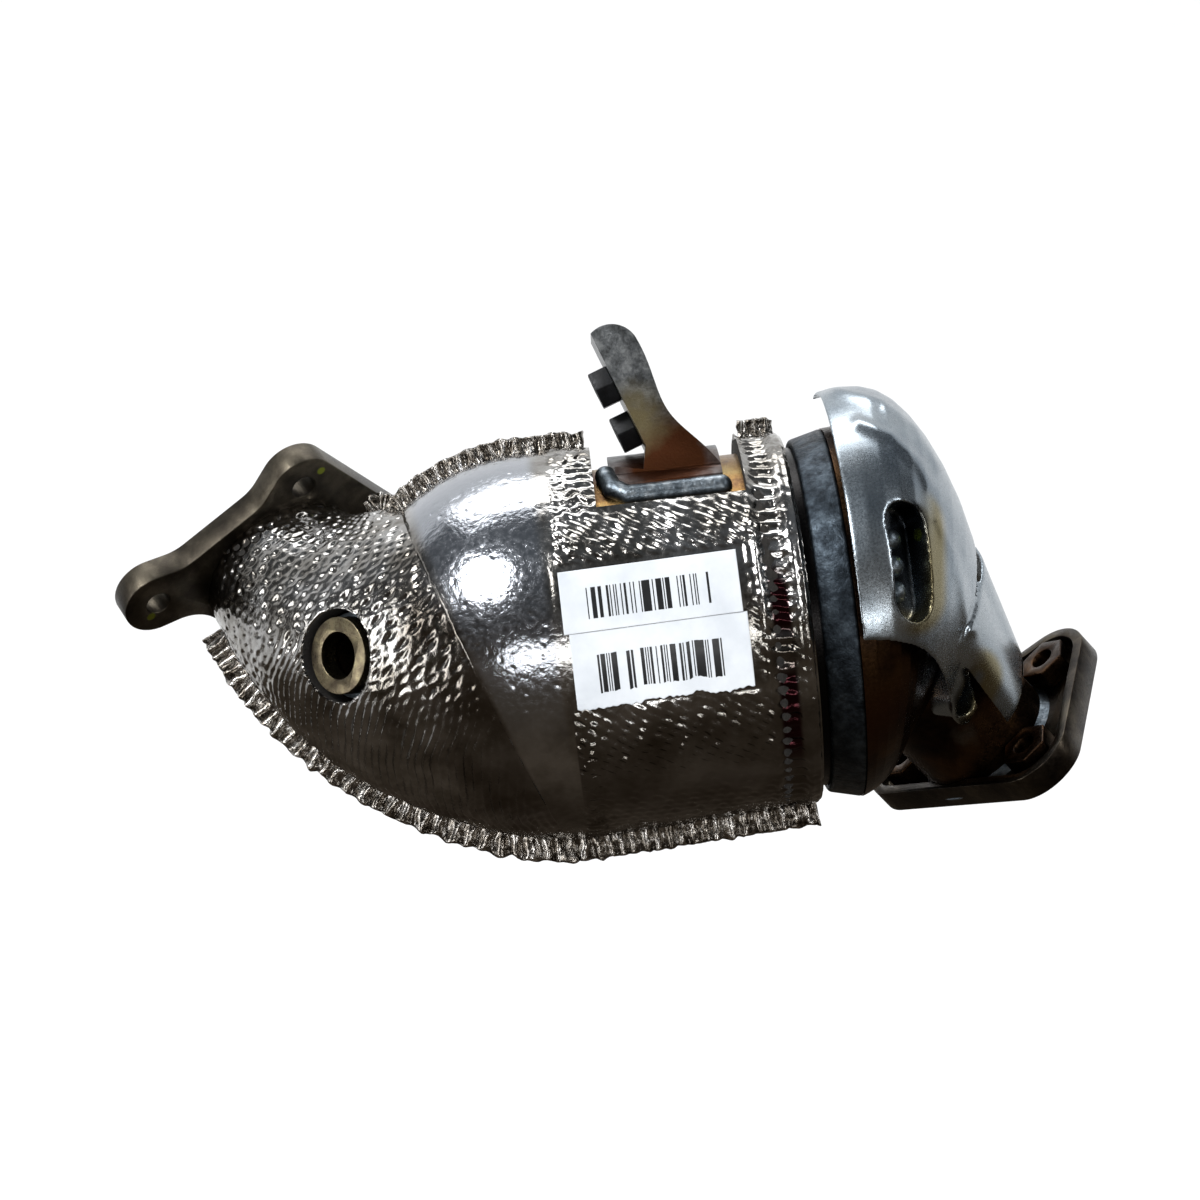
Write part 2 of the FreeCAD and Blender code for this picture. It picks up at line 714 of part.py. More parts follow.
foot_block = Part.makeBox(39, web_depth + 6, 60, at_can(10, gusset_y - 6, 40))
bracket = bracket.fuse(foot_ring.common(foot_block)).cut(can_core)
web_normal = Vector(web_bend.z - web_top.z, 0, web_top.x - web_bend.x).normalize()
bracket_nuts = []
for number, (share, y) in enumerate(((0.42, -6.0), (0.81, 2.0)), start=1):
    seat = at_can(0, gusset_y + web_depth / 2 + y, 0) + web_top * (1 - share) + web_bend * share
    bracket_nuts.append(nut("bracket_nut_%d" % number, "Sizes.bracket_nut_width", "Sizes.bracket_nut_height",
                            "Sizes.bracket_nut_bore", facing(seat, web_normal, Vector(0, 1, 0))))
    screw_hole = Part.makeCylinder(size("bracket_screw_hole") / 2, 20, seat + web_normal, web_normal * -1)
    bracket = bracket.cut(screw_hole)
feature("bracket", bracket)
group("bracket_nuts", bracket_nuts)

# ---- heat shield with two pockets welded down to the cone ----

gap = size("shield_gap")
sheet_wall = size("shield_sheet")
tongue = Part.BSplineCurve()
tongue_points = ((86.8, -9.5), (98, -11), (109, -16.5), (116, -28), (119, -41))
tongue.interpolate([at_can(x, -150, z) for x, z in tongue_points])
tip = Part.Arc(at_can(119, -150, -41), at_can(122, -150, -44), at_can(127, -150, -41)).toShape()
side_points = ((127, -41), (151, -18), (145, -4), (139, 14), (139, 95), (86.8, 95), (86.8, -9.5))
sides = [at_can(x, -150, z) for x, z in side_points]
outline = [tongue.toShape(), tip] + [Part.makeLine(sides[k], sides[k + 1]) for k in range(len(sides) - 1)]
shield_cutter = Part.Face(Part.Wire(outline)).extrude(Vector(0, 162, 0))
shield_inside = outlet_form(gap, 6, True)
shield_outside = outlet_form(gap, 6, True, sheet_wall)
shield = shield_outside.cut(outlet_form(gap, 7, True)).common(shield_cutter)


def on_shield(x, z):
    """Point of the shield's inner face in front of x, z and the outward normal there."""
    ray = Part.makeLine(at_can(x, -150, z), at_can(x, 0, z))
    point = min((vertex.Point for vertex in shield_inside.section(ray).Vertexes), key=lambda p: p.y)
    face = min(shield_inside.Faces, key=lambda item: item.distToShape(Part.Vertex(point))[0])
    u, v = face.Surface.parameter(point)
    normal = face.normalAt(u, v)
    if normal.y > 0:
        normal = normal * -1
    return point, normal


def slot_prism(width, length, low, high, place):
    """Round-ended slot, standing from low to high above its plane."""
    half = (length - width) / 2
    ends = [(Vector(half, 0, 0), width / 2, 1), (Vector(-half, 0, 0), width / 2, 1)]
    face = Part.Face(Part.Wire([curve.toShape() for curve in tangent_loop(ends)]))
    solid = face.extrude(Vector(0, 0, high - low))
    solid.Placement = place.multiply(Placement(Vector(0, 0, low), Rotation()))
    return solid


plugs = []
pockets = {
    "upper": ((107.0, 15.5), size("pocket_width"), size("pocket_length"), Vector(0.12, 0, 1), (-9.0, 0.0, 9.0)),
    "lower": ((126.5, -31.0), size("low_pocket_width"), size("low_pocket_length"), Vector(0.55, 0, 0.8), (0.0,)),
}
for (x, z), width, length, lean, spots in pockets.values():
    point, normal = on_shield(x, z)
    place = facing(point, normal, lean)
    cup = slot_prism(width, length, -gap, 3, place)
    hollow = slot_prism(width - 2 * sheet_wall, length - 2 * sheet_wall, sheet_wall - gap, 4, place)
    cup = cup.common(shield_outside)
    shield = shield.cut(slot_prism(width, length, -gap, 4, place)).fuse(cup.cut(hollow))
    for spot in spots:
        seat = place.multVec(Vector(spot, 0, sheet_wall - gap))
        plug = Part.makeSphere(size("plug_radius"), seat, normal, 0, 90, 360)
        plugs.append(plug)
feature("heat_shield", shield.cut(outlet_form(0.02, 8)))
feature("shield_plug_welds", Part.makeCompound(plugs))

# ---- weld beads ----

tray_seat = tray_place.multVec(Vector(0, 0, size("outlet_flange_plate")))
tray_bead = Part.makeCone(size("outlet_pipe_radius") + size("outlet_weld_bead"), size("outlet_pipe_radius"),
                          size("outlet_weld_bead"), tray_seat, outlet_axis * -1)
doc.recompute()
for item in [outlet_flange] + outlet_nuts:
    tray_bead = tray_bead.cut(item.Shape)
pipe_core = Part.makeCylinder(size("outlet_pipe_radius"), 80, cone_mouth, outlet_axis)
feature("outlet_flange_weld", tray_bead.cut(pipe_core))

bead_radius = size("bracket_bead")
bead_y = -math.sqrt(size("can_radius") ** 2 - 48.5 ** 2)
bead_points = [at_can(8.6, -26, 57), at_can(10.6, -34.5, 52), at_can(15.5, bead_y, 49), at_can(48, bead_y, 49)]
bead_solid = Part.makeSphere(bead_radius, bead_points[0])
for start, end in zip(bead_points, bead_points[1:]):
    run = Part.makeCylinder(bead_radius, (end - start).Length, start, end - start)
    bead_solid = bead_solid.fuse(run).fuse(Part.makeSphere(bead_radius, end))
bead_solid = bead_solid.cut(can_core).cut(bracket)
feature("bracket_weld", max(bead_solid.Solids, key=lambda solid: solid.Volume))

# ---- labels ----

def label(name, low, high, layer):
    """Paper-thin sticker wrapped on the foil between two heights."""
    depth = size("label_thickness")
    patch = dome_and_can(-depth * (layer + 1)).cut(dome_and_can(-depth * layer))
    block = Part.makeBox(size("label_length"), 60, high - low, at_can(-11, -90, low))
    return patch.common(block)


feature("label_upper", label("label_upper", 4.5, 25.5, 0))
feature("label_lower", label("label_lower", -21.5, 4.5, 0))

# ---- save ----

doc.recompute()
for item in doc.Objects:
    if "Invalid" in item.State or "Error" in item.State:
        raise RuntimeError("%s failed: %s" % (item.Name, item.State))
os.makedirs("parts", exist_ok=True)
for piece in pieces:
    if piece.Shape.isNull() or not piece.Shape.isValid():
        raise RuntimeError("%s has no valid shape" % piece.Label)
    print("%-22s solids %d volume %.0f" % (piece.Label, len(piece.Shape.Solids), piece.Shape.Volume))
    piece.Shape.exportStep("parts/%s.step" % piece.Label)
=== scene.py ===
import math
import random

import bmesh
import bpy
from mathutils import Matrix, Vector, noise


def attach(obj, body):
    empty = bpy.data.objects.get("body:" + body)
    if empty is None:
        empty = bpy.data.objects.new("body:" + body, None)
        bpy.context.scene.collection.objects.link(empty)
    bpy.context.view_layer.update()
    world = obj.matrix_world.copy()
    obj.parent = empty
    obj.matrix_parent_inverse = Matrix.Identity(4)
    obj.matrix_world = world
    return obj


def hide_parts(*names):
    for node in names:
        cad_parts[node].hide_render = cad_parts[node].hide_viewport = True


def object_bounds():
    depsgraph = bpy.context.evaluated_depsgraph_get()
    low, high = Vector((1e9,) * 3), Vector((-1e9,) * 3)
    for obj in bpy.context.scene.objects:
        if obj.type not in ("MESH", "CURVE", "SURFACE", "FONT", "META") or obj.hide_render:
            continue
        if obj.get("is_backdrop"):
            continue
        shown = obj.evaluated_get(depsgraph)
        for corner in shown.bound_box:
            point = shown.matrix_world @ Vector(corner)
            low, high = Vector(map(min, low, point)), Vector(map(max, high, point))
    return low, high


# Close-coupled catalytic converter: foil-jacketed elbow and can, with its flanges, boss, bracket and heat shield.
# Lengths in the dictionaries are millimetres in the part's frame; meshes are in metres.

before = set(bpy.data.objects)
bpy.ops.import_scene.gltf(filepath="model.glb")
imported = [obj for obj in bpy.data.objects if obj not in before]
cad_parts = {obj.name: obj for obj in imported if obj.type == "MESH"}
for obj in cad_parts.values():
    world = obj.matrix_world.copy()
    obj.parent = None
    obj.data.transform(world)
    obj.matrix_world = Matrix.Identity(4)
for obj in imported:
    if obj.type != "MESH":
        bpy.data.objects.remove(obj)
cadLow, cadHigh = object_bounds()
mm = 0.001
mixShare, mixUnder, mixOver, mixResult = 0, 6, 7, 2  # the Mix node's sockets for colours
dice = random.Random(29)


def colour(hexValue):
    # sRGB hex to linear
    parts = [int(hexValue[i:i + 2], 16) / 255 for i in (1, 3, 5)]
    return [p / 12.92 if p <= 0.04045 else ((p + 0.055) / 1.055) ** 2.4 for p in parts] + [1]


def addNode(tree, kind, settings=None, links=None):
    made = tree.nodes.new("ShaderNode" + kind)
    for key, value in (settings or {}).items():
        if isinstance(key, int) or key in made.inputs:
            made.inputs[key].default_value = value
        else:
            setattr(made, key, value)
    for key, source in (links or {}).items():
        tree.links.new(source, made.inputs[key])
    return made


def metalFinish(name, look):
    # colour drifts over patches, roughness and a fine grain in the relief break the sheen
    made = bpy.data.materials.new(name)
    made.use_nodes = True
    tree = made.node_tree
    shader = tree.nodes["Principled BSDF"]
    shader.inputs["Metallic"].default_value = look.get("metallic", 1.0)
    place = addNode(tree, "TexCoord").outputs["Object"]
    patches = addNode(tree, "TexNoise", {"Scale": 1000 / look["patch"], "Detail": 5.0, "Roughness": 0.62},
                      {"Vector": place})
    ramp = addNode(tree, "ValToRGB", links={"Fac": patches.outputs["Fac"]})
    low, high = look.get("spread", (0.35, 0.65))
    count = len(look["colours"])
    while len(ramp.color_ramp.elements) < count:
        ramp.color_ramp.elements.new(0.5)
    for number, (element, hexValue) in enumerate(zip(ramp.color_ramp.elements, look["colours"])):
        element.position = low + (high - low) * number / (count - 1)
        element.color = colour(hexValue)
    finish = ramp.outputs["Color"]
    for attribute, hexValue in look.get("overlays", ()):
        share = addNode(tree, "Attribute", {"attribute_name": attribute}).outputs["Fac"]
        finish = addNode(tree, "Mix", {"data_type": "RGBA", mixOver: colour(hexValue)},
                         {mixShare: share, mixUnder: finish}).outputs[mixResult]
    wander = addNode(tree, "TexNoise", {"Scale": 1000 / 7, "Detail": 3.0}, {"Vector": place})
    for centre, reach, soft, hexValue in look.get("tints", ()):
        # a stain round a point: full inside, gone at its reach, its edge broken by noise
        gap = addNode(tree, "VectorMath", {"operation": "DISTANCE", 1: Vector(centre) * mm},
                      {0: place}).outputs["Value"]
        rough = addNode(tree, "Math", {"operation": "MULTIPLY_ADD", 1: soft * 0.9 * mm, 2: -soft * 0.45 * mm},
                        {0: wander.outputs["Fac"]}).outputs[0]
        gap = addNode(tree, "Math", {"operation": "ADD"}, {0: gap, 1: rough}).outputs[0]
        share = addNode(tree, "MapRange", {"From Min": reach * mm, "From Max": (reach - soft) * mm}, {"Value": gap})
        finish = addNode(tree, "Mix", {"data_type": "RGBA", mixOver: colour(hexValue)},
                         {mixShare: share.outputs["Result"], mixUnder: finish}).outputs[mixResult]
    tree.links.new(finish, shader.inputs["Base Color"])
    grain = addNode(tree, "TexNoise", {"Scale": 1000 / look["grain"], "Detail": 4.0, "Roughness": 0.55},
                    {"Vector": place})
    low, high = look["roughness"]
    rough = addNode(tree, "MapRange", {"From Min": 0.3, "From Max": 0.7, "To Min": low, "To Max": high},
                    {"Value": grain.outputs["Fac"]})
    tree.links.new(rough.outputs["Result"], shader.inputs["Roughness"])
    relief = addNode(tree, "Bump", {"Strength": look.get("bump", 0.1), "Distance": 0.5 * mm},
                     {"Height": grain.outputs["Fac"]})
    tree.links.new(relief.outputs["Normal"], shader.inputs["Normal"])
    return made


canAt = Vector((118.3, -46.0, -46.0))  # the can's datum in the part's frame


def atCan(x, y, z):
    return canAt + Vector((x, y, z))


bossFace = atCan(-91.0, -35.5, 5.5)
bossOut = Vector((-0.65, -0.75, 0.05)).normalized()

# embossed stainless foil, 0.2 mm: near-mirror silver, broken by creases; painted shade browns the crease, the
# undersides and the foot by the flange, a painted highlight pales the upper dome, and a dark stain lies round the can
# near its end
foilMetal = metalFinish("embossed stainless foil", {
    "colours": ["#6A655E", "#989590", "#BDBCBB"], "spread": (0.30, 0.62), "patch": 20, "grain": 1.8, "bump": 0.30,
    "roughness": (0.11, 0.24), "overlays": (("dome", "#B3B7BE"), ("brown", "#4A3F33"), ("stain", "#3A1C20"))})
# the same foil crimped over: folds catch light, and painted shade darkens the valleys between folds and the hem's root
crimpMetal = metalFinish("crimped foil hem", {
    "colours": ["#5C554C", "#A09A92", "#CFCCC8"], "spread": (0.33, 0.60), "patch": 3.5, "grain": 0.9, "bump": 0.3,
    "roughness": (0.14, 0.32), "overlays": (("valley", "#2E2822"),)})
# laser-cut stainless plate: dull grey-brown mill skin, paler where it was handled
flangeMetal = metalFinish("satin stainless plate", {
    "colours": ["#332F2A", "#464139", "#5E584D"], "patch": 16, "grain": 0.6, "bump": 0.16,
    "roughness": (0.34, 0.50),
    "tints": (((-44.2, -27.6, -18.9), 1.9, 0.7, "#8E9A3A"), ((24.2, -31.3, 26.9), 1.9, 0.7, "#8E9A3A"))})
# turned steel of the boss: brownish satin with fine tool marks
bossMetal = metalFinish("turned steel", {
    "colours": ["#4E463A", "#6E6552", "#8E8468"], "patch": 6, "grain": 0.5, "bump": 0.12, "roughness": (0.24, 0.40),
    "tints": ((atCan(-99.3, -29.1, -6.6), 2.4, 0.7, "#A3A832"),)})
# weld metal: rippled, with a grey-blue oxide skin
weldMetal = metalFinish("oxidised weld", {
    "colours": ["#4F575E", "#727C84", "#98A0A6"], "patch": 5, "grain": 1.4, "bump": 0.45,
    "roughness": (0.30, 0.50)})
# stainless run red hot: straw to dark brown oxide, still shiny
tintMetal = metalFinish("heat-tinted stainless", {
    "colours": ["#1C1511", "#38281C", "#584029"], "patch": 24, "grain": 1.0, "bump": 0.12,
    "roughness": (0.24, 0.42),
    "tints": ((atCan(88, -60, -40), 24, 20, "#4E3220"), (atCan(126, -14, -52), 9, 7, "#7C7A74"))})
# can wall seen in the bracket's window: straw and copper heat bands; its outlet end past the foil is painted near black
# as shade
canMetal = metalFinish("heat-banded can wall", {
    "colours": ["#5B4128", "#86683C", "#9A8456"], "patch": 12, "grain": 0.9, "bump": 0.10,
    "roughness": (0.24, 0.40),
    "tints": ((atCan(130, 0, 0), 87, 3, "#1C1B1B"), (atCan(0, -22, 60), 16, 12, "#5A2E20"))})
# thick band at the can's end: dark blue-grey scale, rough to the touch
bandMetal = metalFinish("dark scaled steel", {
    "colours": ["#23282D", "#343B42", "#4A535B"], "patch": 5, "grain": 1.3, "bump": 0.5, "roughness": (0.36, 0.58)})
# hot-dip aluminised sheet: pale blue-grey, softly mirrored, straw round the plug welds, pockets painted dark inside as
# shade
shieldMetal = metalFinish("aluminised sheet", {
    "colours": ["#848F99", "#99A3AB", "#AAB2B8"], "patch": 38, "grain": 0.7, "bump": 0.04,
    "roughness": (0.22, 0.32),
    "overlays": (("recessShade", "#23262A"), ("straw", "#8C7D49")),
    "tints": ((atCan(110, -63, 24), 2.6, 0.8, "#9DB04A"),)})
# galvanised bracket: grey spangle above, browned where the weld's heat ran up its foot
bracketMetal = metalFinish("galvanised steel", {
    "colours": ["#4C4E4F", "#6B6E70", "#8A8D8E"], "patch": 4, "grain": 1.0, "bump": 0.22, "roughness": (0.32, 0.50),
    "tints": ((atCan(31, -27, 58), 25, 12, "#4A2B1A"), (atCan(21, -27, 76), 16, 12, "#6B6248"))})
# pressed outlet tray: brown-grey
trayMetal = metalFinish("pressed stainless", {
    "colours": ["#25211D", "#3C362F", "#585146"], "patch": 14, "grain": 0.8, "bump": 0.16,
    "roughness": (0.26, 0.44)})
# black phosphate weld nuts: matt, almost without shine
nutMetal = metalFinish("black phosphate steel", {
    "colours": ["#0F1012", "#191B1E"], "patch": 3, "grain": 0.8, "bump": 0.12,
    "roughness": (0.38, 0.56), "metallic": 0.5})
# fibre mat inside the jacket, sooty where it shows round the boss
fibre = metalFinish("sooty ceramic fibre mat", {
    "colours": ["#161412", "#24211D"], "patch": 4, "grain": 1.2, "bump": 0.6,
    "roughness": (0.85, 0.95), "metallic": 0.0})
# fired cordierite bricks: matt sandy ceramic
ceramic = metalFinish("fired ceramic", {
    "colours": ["#B5A88E", "#CBBFA6"], "patch": 9, "grain": 1.2, "bump": 0.5,
    "roughness": (0.75, 0.9), "metallic": 0.0})
# sticker film: white, slightly glossy, a little grubby
labelFilm = metalFinish("white sticker film", {
    "colours": ["#B4B9BF", "#C8CCD0"], "patch": 30, "grain": 3.0, "bump": 0.02,
    "roughness": (0.28, 0.38), "metallic": 0.0})

nodeMetals = {
    "inlet_flange": flangeMetal, "inlet_flange_weld": weldMetal, "sensor_boss": bossMetal, "sensor_boss_weld": weldMetal,
    "foil_shell_front": foilMetal, "foil_shell_rear": foilMetal, "insulation_front": fibre, "insulation_rear": fibre,
    "inner_cone_front": tintMetal, "inner_cone_rear": tintMetal, "can_shell": canMetal,
    "catalyst_brick_front": ceramic, "catalyst_brick_rear": ceramic, "support_mat_front": fibre,
    "support_mat_rear": fibre, "can_band": bandMetal, "outlet_cone": tintMetal, "outlet_pipe": tintMetal,
    "outlet_flange": trayMetal, "outlet_flange_weld": weldMetal, "outlet_weld_nuts": tintMetal,
    "heat_shield": shieldMetal, "shield_plug_welds": weldMetal, "bracket": bracketMetal, "bracket_weld": weldMetal,
    "bracket_nuts": nutMetal, "label_upper": labelFilm, "label_lower": labelFilm,
}
for name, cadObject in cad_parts.items():
    for holder in cadObject.material_slots:
        holder.material = nodeMetals[name]
print("materials on", len(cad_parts), "nodes")


def finished(bm, name, material, replaced=()):
    # millimetre bmesh to a piece at the origin that rides on the part
    bmesh.ops.scale(bm, vec=(mm, mm, mm), verts=bm.verts)
    bmesh.ops.recalc_face_normals(bm, faces=bm.faces)
    mesh = bpy.data.meshes.new(name)
    bm.to_mesh(mesh)
    bm.free()
    for face in mesh.polygons:
        face.use_smooth = True
    mesh.materials.append(material)
    piece = bpy.data.objects.new(name, mesh)
    bpy.context.collection.objects.link(piece)
    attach(piece, "root")
    if replaced:
        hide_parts(*replaced)
    print(name, len(mesh.polygons), "faces")
    return piece


def smoothStep(low, high, value):
    share = min(1, max(0, (value - low) / (high - low)))
    return share * share * (3 - 2 * share)


def within(low, high, fade, value):
    return smoothStep(low - fade, low + fade, value) * (1 - smoothStep(high - fade, high + fade, value))


# the jacket's smooth form: a horn that swells from the inlet to the dome's mouth, then dome and can
jacket = {
    "inletAngle": 64.4, "inletClock": 50.0, "flange": 10.0, "handle": 46.0, "startRadius": 31.6, "foilRadius": 69.6,
    "domeCentre": -22.0, "mouthLean": 20.5, "mouthDepth": 21.6, "swell": 1.3, "belly": 2.2, "bellyPower": 2.8,
    "canStart": -12.0, "foilEnd": 72.0, "taper": 3.5, "ledge": 0.4,
}
turn, clock = math.radians(jacket["inletAngle"]), math.radians(jacket["inletClock"])
inletAxis = Vector((math.cos(turn), -math.cos(clock) * math.sin(turn), -math.sin(clock) * math.sin(turn)))
lean = math.radians(jacket["mouthLean"])
mouthAxis = Vector((math.cos(lean), 0, math.sin(lean)))
mouth = atCan(jacket["domeCentre"], 0, 0) - mouthAxis * jacket["mouthDepth"]
mouthRadius = math.sqrt(jacket["foilRadius"] ** 2 - jacket["mouthDepth"] ** 2)
hornStart = inletAxis * jacket["flange"]
hornHandle = hornStart + inletAxis * jacket["handle"]
sideways = Vector((0, 1, 0))


def hornCentre(share):
    back = 1 - share
    return hornStart * back ** 2 + hornHandle * (2 * share * back) + mouth * share ** 2


def ringPoint(centre, axis, radius, angle):
    # angle 0 is the upper seam, half a turn the lower one; positive angles go round the front
    up = axis.cross(sideways).normalized()
    out = up.cross(axis).normalized()
    if out.y > 0:
        out = -out
    return centre + (up * math.cos(angle) + out * math.sin(angle)) * radius


def canProfile(x):
    if x < jacket["domeCentre"]:
        return math.sqrt(max(0, jacket["foilRadius"] ** 2 - (x - jacket["domeCentre"]) ** 2))
    straight = jacket["foilEnd"] - jacket["canStart"]
    return jacket["foilRadius"] - jacket["taper"] * max(0, x - jacket["canStart"]) / straight


def onJacket(run, angle):
    # run 0-1 along the horn, 1-2 along the dome, 2-3 along the can
    if run <= 1:
        axis = (inletAxis * (1 - run) + mouthAxis * run).normalized()
        full = run ** jacket["bellyPower"]
        belly = jacket["belly"] * 4 * full * (1 - full)
        growth = mouthRadius - jacket["ledge"] - jacket["startRadius"]
        radius = jacket["startRadius"] + growth * run ** jacket["swell"]
        return ringPoint(hornCentre(run) - axis.cross(sideways).normalized() * belly, axis, radius + belly, angle)
    edge = ringPoint(mouth, mouthAxis, mouthRadius, angle) - canAt
    around = math.atan2(-edge.y, edge.z)
    if run <= 2:
        x = edge.x + (jacket["canStart"] - edge.x) * (run - 1)
    else:
        x = jacket["canStart"] + (jacket["foilEnd"] - jacket["canStart"]) * (run - 2)
    radius = canProfile(x)
    return atCan(x, -math.sin(around) * radius, math.cos(around) * radius)


stickerLook = {
    "upper": {"x": (-11.6, 49.0), "z": (4.5, 25.6), "proud": 0.50, "seed": 3.0, "torn": 0.0},
    "lower": {"x": (-10.0, 50.3), "z": (-21.5, 4.4), "proud": 0.30, "seed": 400.0, "torn": 1.0},
    "slope": 1.1, "bars": (0.14, 0.84, 0.20, 0.70), "barPitch": 0.4, "barShare": 0.47,
    "ink": "#17181A", "film": 0.12,
}


def underSticker(local):
    # 1 where the foil is pressed flat under the stickers
    if local.y > 0:
        return 0
    low, high = stickerLook["lower"], stickerLook["upper"]
    gapX = max(low["x"][0] - 3.0 - local.x, local.x - high["x"][1] - 2.0, 0)
    gapZ = max(low["z"][0] + 0.5 - local.z, local.z - high["z"][1] - 1.0, 0)
    return 1 - smoothStep(0, 2.0, math.hypot(gapX, gapZ))


emboss = {
    "pitch": 4.3, "depth": 0.80, "radius": 1.35, "crumple": 0.50, "gather": 0.85, "gatherPitch": 3.1,
    "slantPitch": 3.4, "slantDepth": 0.46, "seamReach": 7.0, "seamWave": 0.5, "seamPitch": 4.6, "stepHeight": 0.5,
    "pinchDepth": 1.3, "domeDotPitch": 5.6, "domeDotDepth": 0.26, "domeDotRadius": 0.8, "rowShare": 0.87,
    # where each kind of work lies: along the jacket (run), round it (turn) and in from the can's end
    "domeRun": (1.0, 1.93, 0.04), "hornRun": (0.97, 1.02), "canRun": (2.0, 2.02), "lowerTurn": (1.6, 2.3),
    "gatherRun": (0.42, 0.97, 0.10), "gatherTurn": (1.55, 2.0), "gatherEnd": (2.85, 3.0), "slantEnd": (2.80, 2.86),
    "grooveSpan": (6.5, 14.0, 1.5), "innerBead": (15.6, 17.2, 0.9), "outerBead": (3.4, 5.0, 0.9),
    "rippleDepth": 0.45, "ripplePitch": 5.2, "innerBeadHeight": 0.55, "outerBeadHeight": 0.45,
    "bendSize": 16, "fineSize": 4.2, "domeCalm": 0.75, "underFilm": 0.1,
}


def dots(along, across, pitch, radius, seed):
    # staggered embossed dots, each with its own strength
    row = round(across / (pitch * emboss["rowShare"]))
    shift = 0.5 * pitch * (row % 2)
    column = round((along - shift) / pitch)
    dx = along - shift - column * pitch
    dy = across - row * pitch * emboss["rowShare"]
    strength = 0.6 + 0.4 * math.sin(row * 12.99 + column * 78.23 + seed)
    return strength * math.exp(-(dx * dx + dy * dy) / (radius * radius))


def relief(run, angle, local, along, across, arcAll):
    # how far the worked foil stands off its smooth form
    look = emboss
    bend = noise.noise(Vector((along / look["bendSize"], across / look["bendSize"], 3.0)))
    fine = noise.noise(Vector((along / look["fineSize"], across / look["fineSize"], 7.0)))
    dome = within(*look["domeRun"], run) * (1 if run > 1 else 0)
    horn = 1 - smoothStep(*look["hornRun"], run)
    can = smoothStep(*look["canRun"], run)
    lower = smoothStep(*look["lowerTurn"], abs(angle))
    lift = look["crumple"] * (bend + 0.45 * fine) * (1 - look["domeCalm"] * dome)
    wander = along + 1.6 * bend
    hammered = dots(wander, across + 1.2 * fine, look["pitch"], look["radius"], 0.0)
    gathered = horn * within(*look["gatherRun"], run) * smoothStep(*look["gatherTurn"], abs(angle))
    gathered *= 1 - smoothStep(*look["gatherEnd"], abs(angle))
    lift -= look["depth"] * hammered * horn * (1 - 0.75 * gathered) * (1 - 0.35 * lower)
    lift -= 0.55 * look["depth"] * hammered * can
    sway = 2.2 * noise.noise(Vector((across / 12, along / 22, 5.0)))
    ridge = math.sin(2 * math.pi * (along + sway) / look["gatherPitch"])
    lift += look["gather"] * gathered * ridge * (0.65 + 0.6 * noise.noise(Vector((along / 5, across / 9, 2.0))))
    sparse = within(-0.9, 0.9, 0.4, math.sin(along / 5.0 + 1.0)) * (0.4 + 0.6 * smoothStep(-0.2, 0.2, bend))
    lift -= look["domeDotDepth"] * dome * sparse * dots(along, across, look["domeDotPitch"], look["domeDotRadius"], 4.0)
    if can:
        lift += look["stepHeight"] * can
        slanted = math.sin(2 * math.pi * (0.55 * local.x - 0.84 * across + 1.2 * bend) / look["slantPitch"])
        broken = 0.7 + 0.3 * math.sin(2 * math.pi * (0.84 * local.x + 0.55 * across) / 5.0)
        below, above = within(-47, -24, 4, local.z), within(27, 43, 3, local.z)
        lift += (look["slantDepth"] * slanted * broken * (below + 0.6 * above)
                 * (1 - smoothStep(*look["slantEnd"], run)))
        # crinkled rows beside the step, and the bright patch by the window
        beside = within(-11.5, -4.5, 1.2, local.x)
        lift += 0.30 * beside * math.sin(2 * math.pi * across / 4.1 + 9 * fine + 6 * bend)
        patch = within(-6, 3, 1.5, local.x) * within(44, 66, 3, local.z) * (1 if local.y < 0 else 0)
        lift += 0.55 * patch * math.sin(2 * math.pi * (across + 3 * fine) / 4.4)
        # pinched groove between two beads, rippled all round
        end = jacket["foilEnd"] - local.x
        groove = within(*look["grooveSpan"], end)
        ripple = math.sin(2 * math.pi * across / look["ripplePitch"] + 2.5 * bend)
        lift += (groove * (-look["pinchDepth"] + look["rippleDepth"] * ripple)
                 + look["innerBeadHeight"] * within(*look["innerBead"], end))
        lift += look["outerBeadHeight"] * within(*look["outerBead"], end) + 0.25 * groove * fine
        lift -= 1.1 * (1 - smoothStep(0, 1.6, end))
    near = 1 - smoothStep(0, look["seamReach"], min(across, arcAll - across))
    lift += look["seamWave"] * near * math.sin(2 * math.pi * along / look["seamPitch"])
    pressed = underSticker(local)
    return lift * (1 - pressed) + pressed * look["underFilm"]


brownLook = {
    "crease": (0.86, 1.03, 0.06), "creaseTurn": (0.5, 1.2), "belly": (38, 62), "under": (22, 34), "foot": (0.02, 0.12),
    "strengths": (0.8, 0.75, 0.7, 0.6),
}


def paintedBrownShade(run, angle, local, bend):
    # painted shade, browned: darker in the crease valley, on the belly of the elbow, on the can's underside and at the
    # foot by the flange
    look = brownLook
    creaseDark, bellyDark, underDark, footDark = look["strengths"]
    crease = within(*look["crease"], run) * smoothStep(*look["creaseTurn"], abs(angle)) * creaseDark
    belly = smoothStep(*look["belly"], -local.z) * bellyDark
    under = smoothStep(*look["under"], -local.z) * (1 if run > 2 else 0) * underDark
    foot = (1 - smoothStep(*look["foot"], run)) * footDark
    return min(1, max(crease, belly, under, foot) * (0.8 + 0.5 * bend))


jacketLook = {
    "boss": 16.5, "bossEdge": 0.45, "bossReach": 30, "rimDepth": 3.5, "window": (4.0, 56.0, 46.0), "windowBack": 45.0,
    "domeShare": 0.27, "domePaintedSheen": (1.06, 1.90, 0.05), "domeFade": (8, 40),
    "stainAlong": (58.5, 65.0, 0.8), "stainUp": (-48, 22, 6), "stainEdge": (-0.35, 0.1),
}


